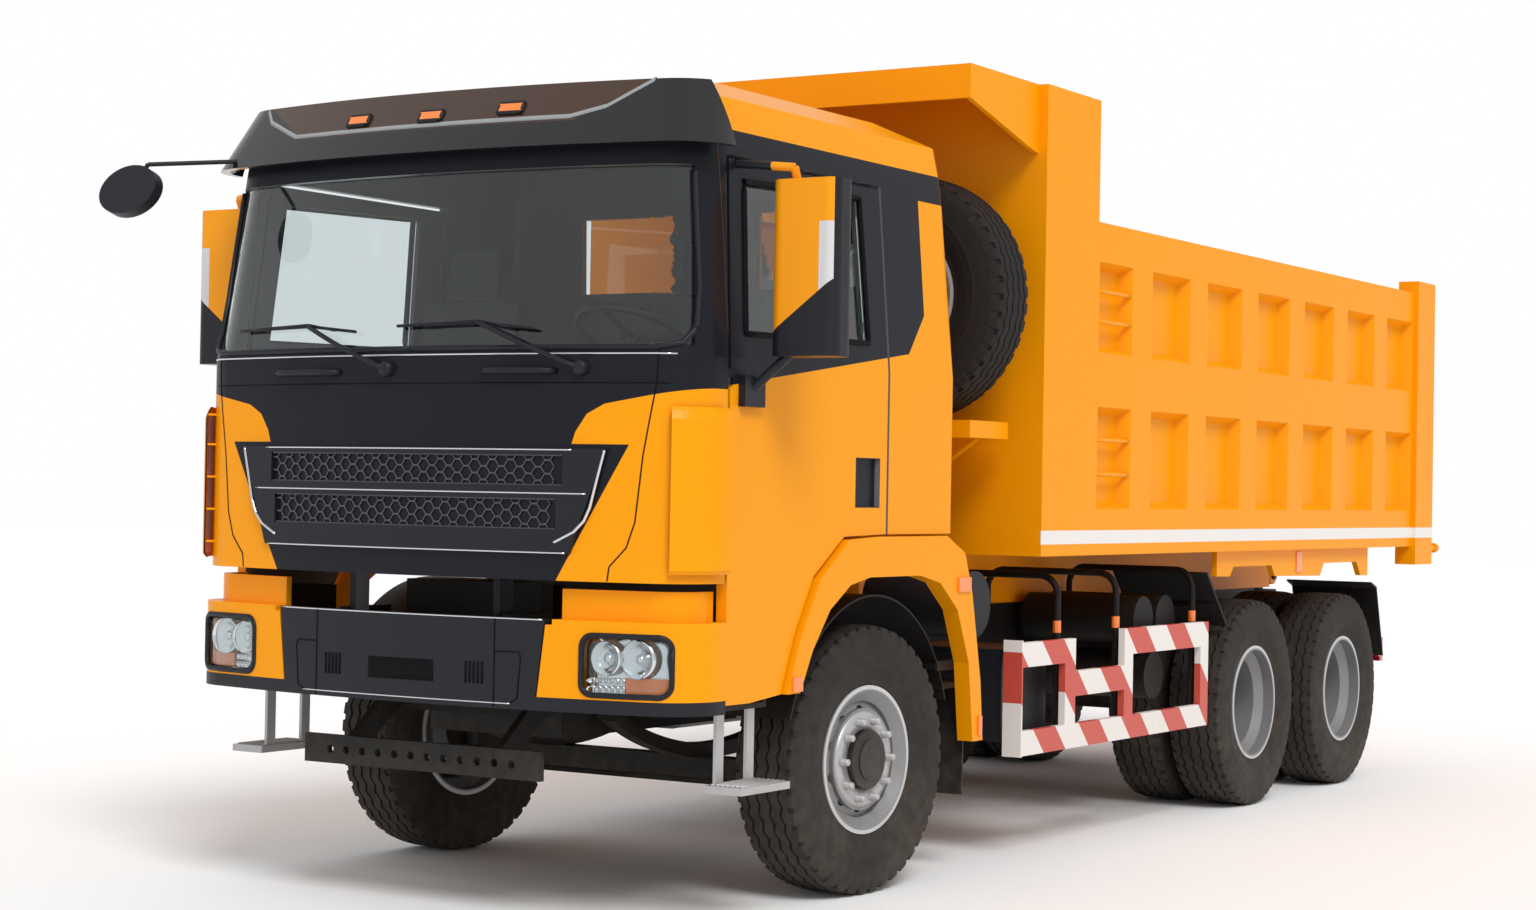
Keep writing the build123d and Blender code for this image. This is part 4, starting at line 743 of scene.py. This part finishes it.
# Windscreen rubber, wipers and hood handles
# Black rubber round the glass; spring arms with long blades; two grab handles below.
frame_line = [(0, 2.128), (1.05, 2.128), (1.13, 2.145), (1.158, 2.2), (1.15, 2.35), (1.1, 2.79)]
rubbers = [tube(on_front(frame_line, 0.001, 14), 0.011), tube(on_front(flipped(frame_line), 0.001, 14), 0.011)]
piece("screen_rubber", rubbers, "cab", black_plastic, "trim")
wiper_parts = []
for pivot_x, top_x, blade in ((-0.096, -0.519, (-0.941, -0.27)), (0.767, 0.329, (-0.062, 0.562))):
    pivot = np.array([pivot_x, cab_skin(pivot_x, 2.052), 2.052])
    wiper_parts.append(lathe(pivot, (0, -1, 0), [(0.03, -0.005), (0.03, 0.02), (0.022, 0.03), (0, 0.032)], 20))
    arm_x = np.linspace(pivot_x, top_x, 12)
    arm_z = np.linspace(2.052, 2.222, 12)
    arm_y = cab_skin(arm_x, arm_z) - 0.022 - 0.02 * np.sin(np.linspace(0, np.pi, 12))
    wiper_parts.append(tube(np.stack([arm_x, arm_y, arm_z], 1), 0.0095))
    wiper_parts.append(tube(on_front([(blade[0], 2.215), (top_x, 2.222), (blade[1], 2.197)], 0.006, 16), 0.006, 6))
    wiper_parts.append(tube(on_front([(blade[0] + 0.1, 2.217), (top_x, 2.228), (blade[1] - 0.1, 2.203)], 0.018, 10), 0.005, 6))
piece("wipers", wiper_parts, "cab", black_plastic, "trim")
handles = []
for start, end in ((-0.693, -0.343), (0.35, 0.661)):
    across = np.linspace(start, end, 14)
    out = 0.034 * np.minimum(1, np.minimum(np.arange(14), np.arange(14)[::-1]) / 2)
    handles.append(tube(np.stack([across, cab_skin(across, 2.042) - out, np.full(14, 2.042)], 1), 0.013))
piece("hood_handles", handles, "cab", black_plastic, "trim")


# Visor lamps and edging
# Three amber lamps in black frames, and a grey strip that rises at both ends.
def visor_skin(x, z):
    """Y of the visor's front at x and z."""
    lean = np.clip((z - 2.872) / 0.25, 0, 1)
    return skin(x, cab_front + 0.02 + 0.145 * lean, 1.225 - 0.08 * lean)


def band(lower, upper, depth):
    """A plate between two lines, as deep as a vector, with its two ends closed."""
    lower, upper = np.asarray(lower, float), np.asarray(upper, float)
    depth = np.asarray(depth, float)
    grid = np.stack([lower, upper, upper + depth, lower + depth], 1)
    points, faces = wall(grid, around=False, across=True)
    last = 4 * len(lower) - 4
    return points, faces + [(3, 2, 1, 0), (last, last + 1, last + 2, last + 3)]


inwards = (0, 0.012, 0)
lenses, frames = [], []
for x, z in ((-0.362, 3.024), (0.008, 3.019), (0.374, 3.03)):
    row = [(x - 0.052, x + 0.052), (z - 0.019, z + 0.019)]
    lenses.append(band(on_front([(row[0][0], row[1][0]), (row[0][1], row[1][0])], 0.012, 4, visor_skin),
                       on_front([(row[0][0], row[1][1]), (row[0][1], row[1][1])], 0.012, 4, visor_skin),
                       inwards))
    ring = [(row[0][0], row[1][0]), (row[0][1], row[1][0]), (row[0][1], row[1][1]),
            (row[0][0], row[1][1]), (row[0][0], row[1][0])]
    frames.append(tube(on_front(ring, 0.006, 4, visor_skin), 0.008, 6))
piece("visor_lamps", lenses, "cab", amber, "lamp", smooth=False)
piece("visor_frames", frames, "cab", black_plastic, "trim")
edging = [(-0.955, 3.105), (-0.90, 3.05), (-0.70, 2.972), (0.64, 2.975), (0.78, 3.01), (0.935, 3.11)]
edging_top = [(x, z + 0.018) for x, z in edging]
piece("visor_edging", [band(on_front(edging, 0.002, 12, visor_skin), on_front(edging_top, 0.002, 12, visor_skin), inwards)],
      "cab", finish("edging_grey", (0.30, 0.31, 0.32), 0.4, dust=0.02), "trim")

# Corner vanes
# A yellow blade round each front corner, held off the cab by five flat fins.
vane_half, vane_corner = 1.242, 0.272
turn = np.radians(np.linspace(36, 90, 14))
centre_y = cab_front - 0.042 + 5 - np.sqrt((5 - vane_corner) ** 2 - (vane_half - vane_corner) ** 2)
blade_line = np.stack([vane_half - vane_corner + vane_corner * np.sin(turn),
                       centre_y - vane_corner * np.cos(turn)], 1)
blade_line = np.vstack([blade_line, (vane_half, axle_y - 1.215)])
inner_line = blade_line - np.stack([np.sin(np.append(turn, np.pi / 2)), -np.cos(np.append(turn, np.pi / 2))], 1) * 0.008
fin_line = blade_line - np.stack([np.sin(np.append(turn, np.pi / 2)), -np.cos(np.append(turn, np.pi / 2))], 1) * 0.0415


def level(line, z):
    """A plan line at one height."""
    return np.column_stack([line, np.full(len(line), z)])


rows = [(1.31, 0.012), (1.325, 0.0), (1.87, 0.0), (1.9, 0.01), (1.915, 0.02)]
blade_grid = [level(blade_line - (blade_line - inner_line) * pull / 0.008, z) for z, pull in rows]
blade_grid += [level(inner_line - (blade_line - inner_line) * pull / 0.008, z) for z, pull in reversed(rows)]
points, faces = wall(np.stack(blade_grid), around=True)
vanes = [(points, faces)]
for z in (1.37, 1.5, 1.63, 1.76, 1.88):
    vanes.append(band(level(inner_line, z), level(fin_line, z), (0, 0, 0.008)))
vanes += [mirrored(shape) for shape in vanes]
vane_piece = piece("vane_blades", vanes, "cab", yellow_paint, "body", smooth=False)
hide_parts("corner_vanes")


# Headlamps
# A clear cover over two round reflectors, a row of small lamps and an amber turn lamp.
def bumper_skin(x, z):
    """Y of the bumper's front at x."""
    return skin(x, cab_front - 0.01, 1.215) + 0 * z


def rounded(low_x, high_x, low_z, high_z, radius, count=6):
    """The outline of a rectangle with round corners, as (x, z) points."""
    turn = np.linspace(0, np.pi / 2, count)
    corners = ((high_x - radius, high_z - radius, 0), (low_x + radius, high_z - radius, 1),
               (low_x + radius, low_z + radius, 2), (high_x - radius, low_z + radius, 3))
    return np.concatenate([
        np.stack([x + radius * np.cos(turn + quarter * np.pi / 2),
                  z + radius * np.sin(turn + quarter * np.pi / 2)], 1)
        for x, z, quarter in corners])


def pane(outline, surface, inset, thickness, rings=6):
    """A thin plate inside an outline that follows a surface: rings drawn in to its middle."""
    outline = np.asarray(outline, float)
    heart = outline.mean(0)
    share = np.concatenate([np.linspace(0, 1, rings), np.linspace(1, 0, rings)])
    back = np.repeat([0.0, thickness], rings)
    flat = heart + (outline - heart)[:, None] * share[None, :, None]
    y = surface(flat[..., 0], flat[..., 1]) + inset + back
    return wall(np.stack([flat[..., 0], y, flat[..., 1]], -1))


lamp_outline = rounded(0.7915, 1.1285, 0.8675, 1.0835, 0.043)
covers = [pane(lamp_outline, bumper_skin, 0.012, 0.003)]
bowls = [pane(lamp_outline, bumper_skin, 0.06, 0.004)]
for x, z, radius in ((0.875, 1.0, 0.058), (1.0, 1.0, 0.066)):
    foot = (x, bumper_skin(x, z) + 0.058, z)
    bowls.append(lathe(foot, (0, -1, 0), [(0, 0.004), (radius * 0.3, 0.006), (radius * 0.75, 0.018),
                                          (radius, 0.04), (radius + 0.006, 0.04), (radius + 0.006, 0)], 36))
    bowls.append(lathe(foot, (0, -1, 0), [(0.02, 0), (0.02, 0.02), (0.012, 0.03), (0, 0.032)], 20))
for x in np.linspace(0.812, 0.93, 6):
    for z in (0.89, 0.918):
        bowls.append(lathe((x, bumper_skin(x, z) + 0.058, z), (0, -1, 0),
                           [(0.0105, 0), (0.0105, 0.022), (0.007, 0.018), (0, 0.016)], 14))
turn_lamp = [band(on_front([(0.95, 0.878), (1.112, 0.878)], -0.03, 8, bumper_skin),
                  on_front([(0.95, 0.932), (1.12, 0.932)], -0.03, 8, bumper_skin), (0, 0.02, 0))]
surround = on_front(np.vstack([lamp_outline, lamp_outline[:1]]), 0.0, 3, bumper_skin)
surrounds = [tube(surround, 0.011)]
for name, shapes, material, slot, soft in (
        ("lamp_covers", covers, glass, "lamp", True), ("lamp_bowls", bowls, bright_trim, "lamp", True),
        ("turn_lamps", turn_lamp, amber, "lamp", False), ("lamp_surrounds", surrounds, black_plastic, "trim", True)):
    made = piece(name, shapes + [mirrored(shape) for shape in shapes], "chassis", material, slot, soft)
    if name == "lamp_covers":
        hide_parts("headlamps")

# Bumper details
# Seams in black lines; a sunk middle drawn only in lines, painted shade in black along its
# upper edge and sides and a painted highlight in silver along its lower edge, with another
# painted highlight in silver along the bumper's top edge; two vents and a slot for the towing
# eye drawn in black, painted shade in their openings; and the dark screen that closes the gap
# under the cab.
seams, silver_highlights = [], []
for side in (1, -1):
    seams.append(tube(on_front([(side * 0.43, 0.805), (side * 0.43, 1.13)], 0.0, 2, bumper_skin), 0.003, 6))
    # The sunk middle's upper edge and sides as black lines: painted shade.
    seams.append(tube(on_front([(side * 0.43, 1.01), (side * 0.535, 1.01), (side * 0.543, 0.99),
                                (side * 0.53, 0.84), (side * 0.5, 0.822)], 0.0, 6, bumper_skin), 0.003, 6))
    # Vent slits as dark lines: painted shade in the openings.
    for x in np.linspace(0.305, 0.378, 5):
        seams.append(tube(on_front([(side * x, 0.888), (side * x, 0.968)], 0.0, 2, bumper_skin), 0.005, 4))
# The slot for the towing eye as a black plate: painted shade in the opening.
seams.append(band(on_front([(-0.157, 0.885), (0.157, 0.885)], 0.002, 24, bumper_skin),
                  on_front([(-0.157, 0.965), (0.157, 0.965)], 0.002, 24, bumper_skin), (0, 0.004, 0)))
piece("bumper_seams_and_shade", seams, "chassis", seam_black, "trim")
# Silver lines along the sunk middle's lower edge and the bumper's top edge: painted highlights.
silver_highlights.append(tube(on_front([(-0.5, 0.82), (0.5, 0.82)], 0.0, 40, bumper_skin), 0.003, 6))
silver_highlights.append(tube(on_front([(-0.63, 1.132), (0.63, 1.132)], -0.001, 40, bumper_skin), 0.0035, 6))
piece("bumper_highlights", silver_highlights, "chassis", bright_trim, "trim")
screen_low = on_front([(-0.62, 1.03), (0.62, 1.03)], -0.031, 40, bumper_skin)
screen_high = on_front([(-0.62, 1.125), (0.62, 1.125)], -0.035, 40, bumper_skin)
bars = [band(screen_low, screen_high, (0, 0.006, 0))]
for share in (0.58, 0.7, 0.82, 0.94):
    bars.append(tube(screen_low + (screen_high - screen_low) * share - (0, 0.004, 0), 0.007, 6))
piece("radiator_screen", bars, "chassis", black_steel, "trim")

# Side lamps, hoop collars and rungs
# Amber lamps on the arches and below the bed, orange collars on the guard's tubes, and rungs
# across the first bay of the bed's side.
arch_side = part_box("wheel_arches")[1].x
side_lamps = []
for y, z, length, height in ((axle_y + 0.64, 1.235, 0.11, 0.06), (axle_y - 0.71, 0.885, 0.07, 0.055),
                             (axle_y + 0.80, 0.63, 0.03, 0.08)):
    lower = [(arch_side - 0.01, y - length / 2, z - height / 2), (arch_side - 0.01, y + length / 2, z - height / 2)]
    upper = np.add(lower, (0, 0, height))
    side_lamps.append(band(lower, upper, (0.02, 0, 0)))
for start in (1.705, 2.35, 3.28):
    y = axle_y + start
    side_lamps.append(tube([(1.15, y, 0.99), (1.15, y, 1.015), (1.15, y, 1.045)], 0.0195, 12))
side_lamps += [mirrored(shape) for shape in side_lamps]
piece("side_lamps", side_lamps, "chassis", amber, "lamp", smooth=False)
bed_low, bed_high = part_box("bed")
rungs = []
for z in (1.72, 1.88, 2.43, 2.57):
    y = np.linspace(axle_y + 1.33 + 0.56, axle_y + 1.33 + 0.955, 6)
    rungs.append(tube(np.stack([np.full(6, 1.232), y, np.full(6, z)], 1), 0.011))
rungs += [mirrored(shape) for shape in rungs]
piece("bed_rungs", rungs, "bed", yellow_paint, "body")
skirt_lamp = band([(1.195, axle_y + 4.61, 1.22), (1.195, axle_y + 4.69, 1.22)],
                  [(1.195, axle_y + 4.61, 1.33), (1.195, axle_y + 4.69, 1.33)], (0.012, 0, 0))
piece("skirt_lamps", [skirt_lamp, mirrored(skirt_lamp)], "bed", amber, "lamp", smooth=False)

# Door window rubbers
# Black rubber round each side window.
corners = np.array([(-1.065, 2.195), (-1.025, 2.765), (-0.165, 2.79), (-0.15, 2.21), (-1.065, 2.195)])
place = np.linspace(0, 4, 65)
window_y = axle_y + np.interp(place, np.arange(5), corners[:, 0])
window_z = np.interp(place, np.arange(5), corners[:, 1])
window_x = 1.2 - np.interp(window_z, [2.1, 2.9], [0, 0.065])
window_line = tube(np.stack([window_x, window_y, window_z], 1), 0.012)
piece("window_rubber_left", [window_line], "door_left", seam_black, "trim")
piece("window_rubber_right", [mirrored(window_line)], "door_right", seam_black, "trim")

# Step treads
# Raised ribs on the silver steps.
treads = []
step_low, step_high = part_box("steps")
for x in np.linspace(1.105, 1.235, 7):
    treads.append(tube([(x, step_low.y + 0.02, 0.529), (x, (step_low.y + step_high.y) / 2, 0.529),
                        (x, step_high.y - 0.02, 0.529)], 0.005, 6))
treads += [mirrored(shape) for shape in treads]
piece("step_treads", treads, "chassis", silver_paint, "rim")
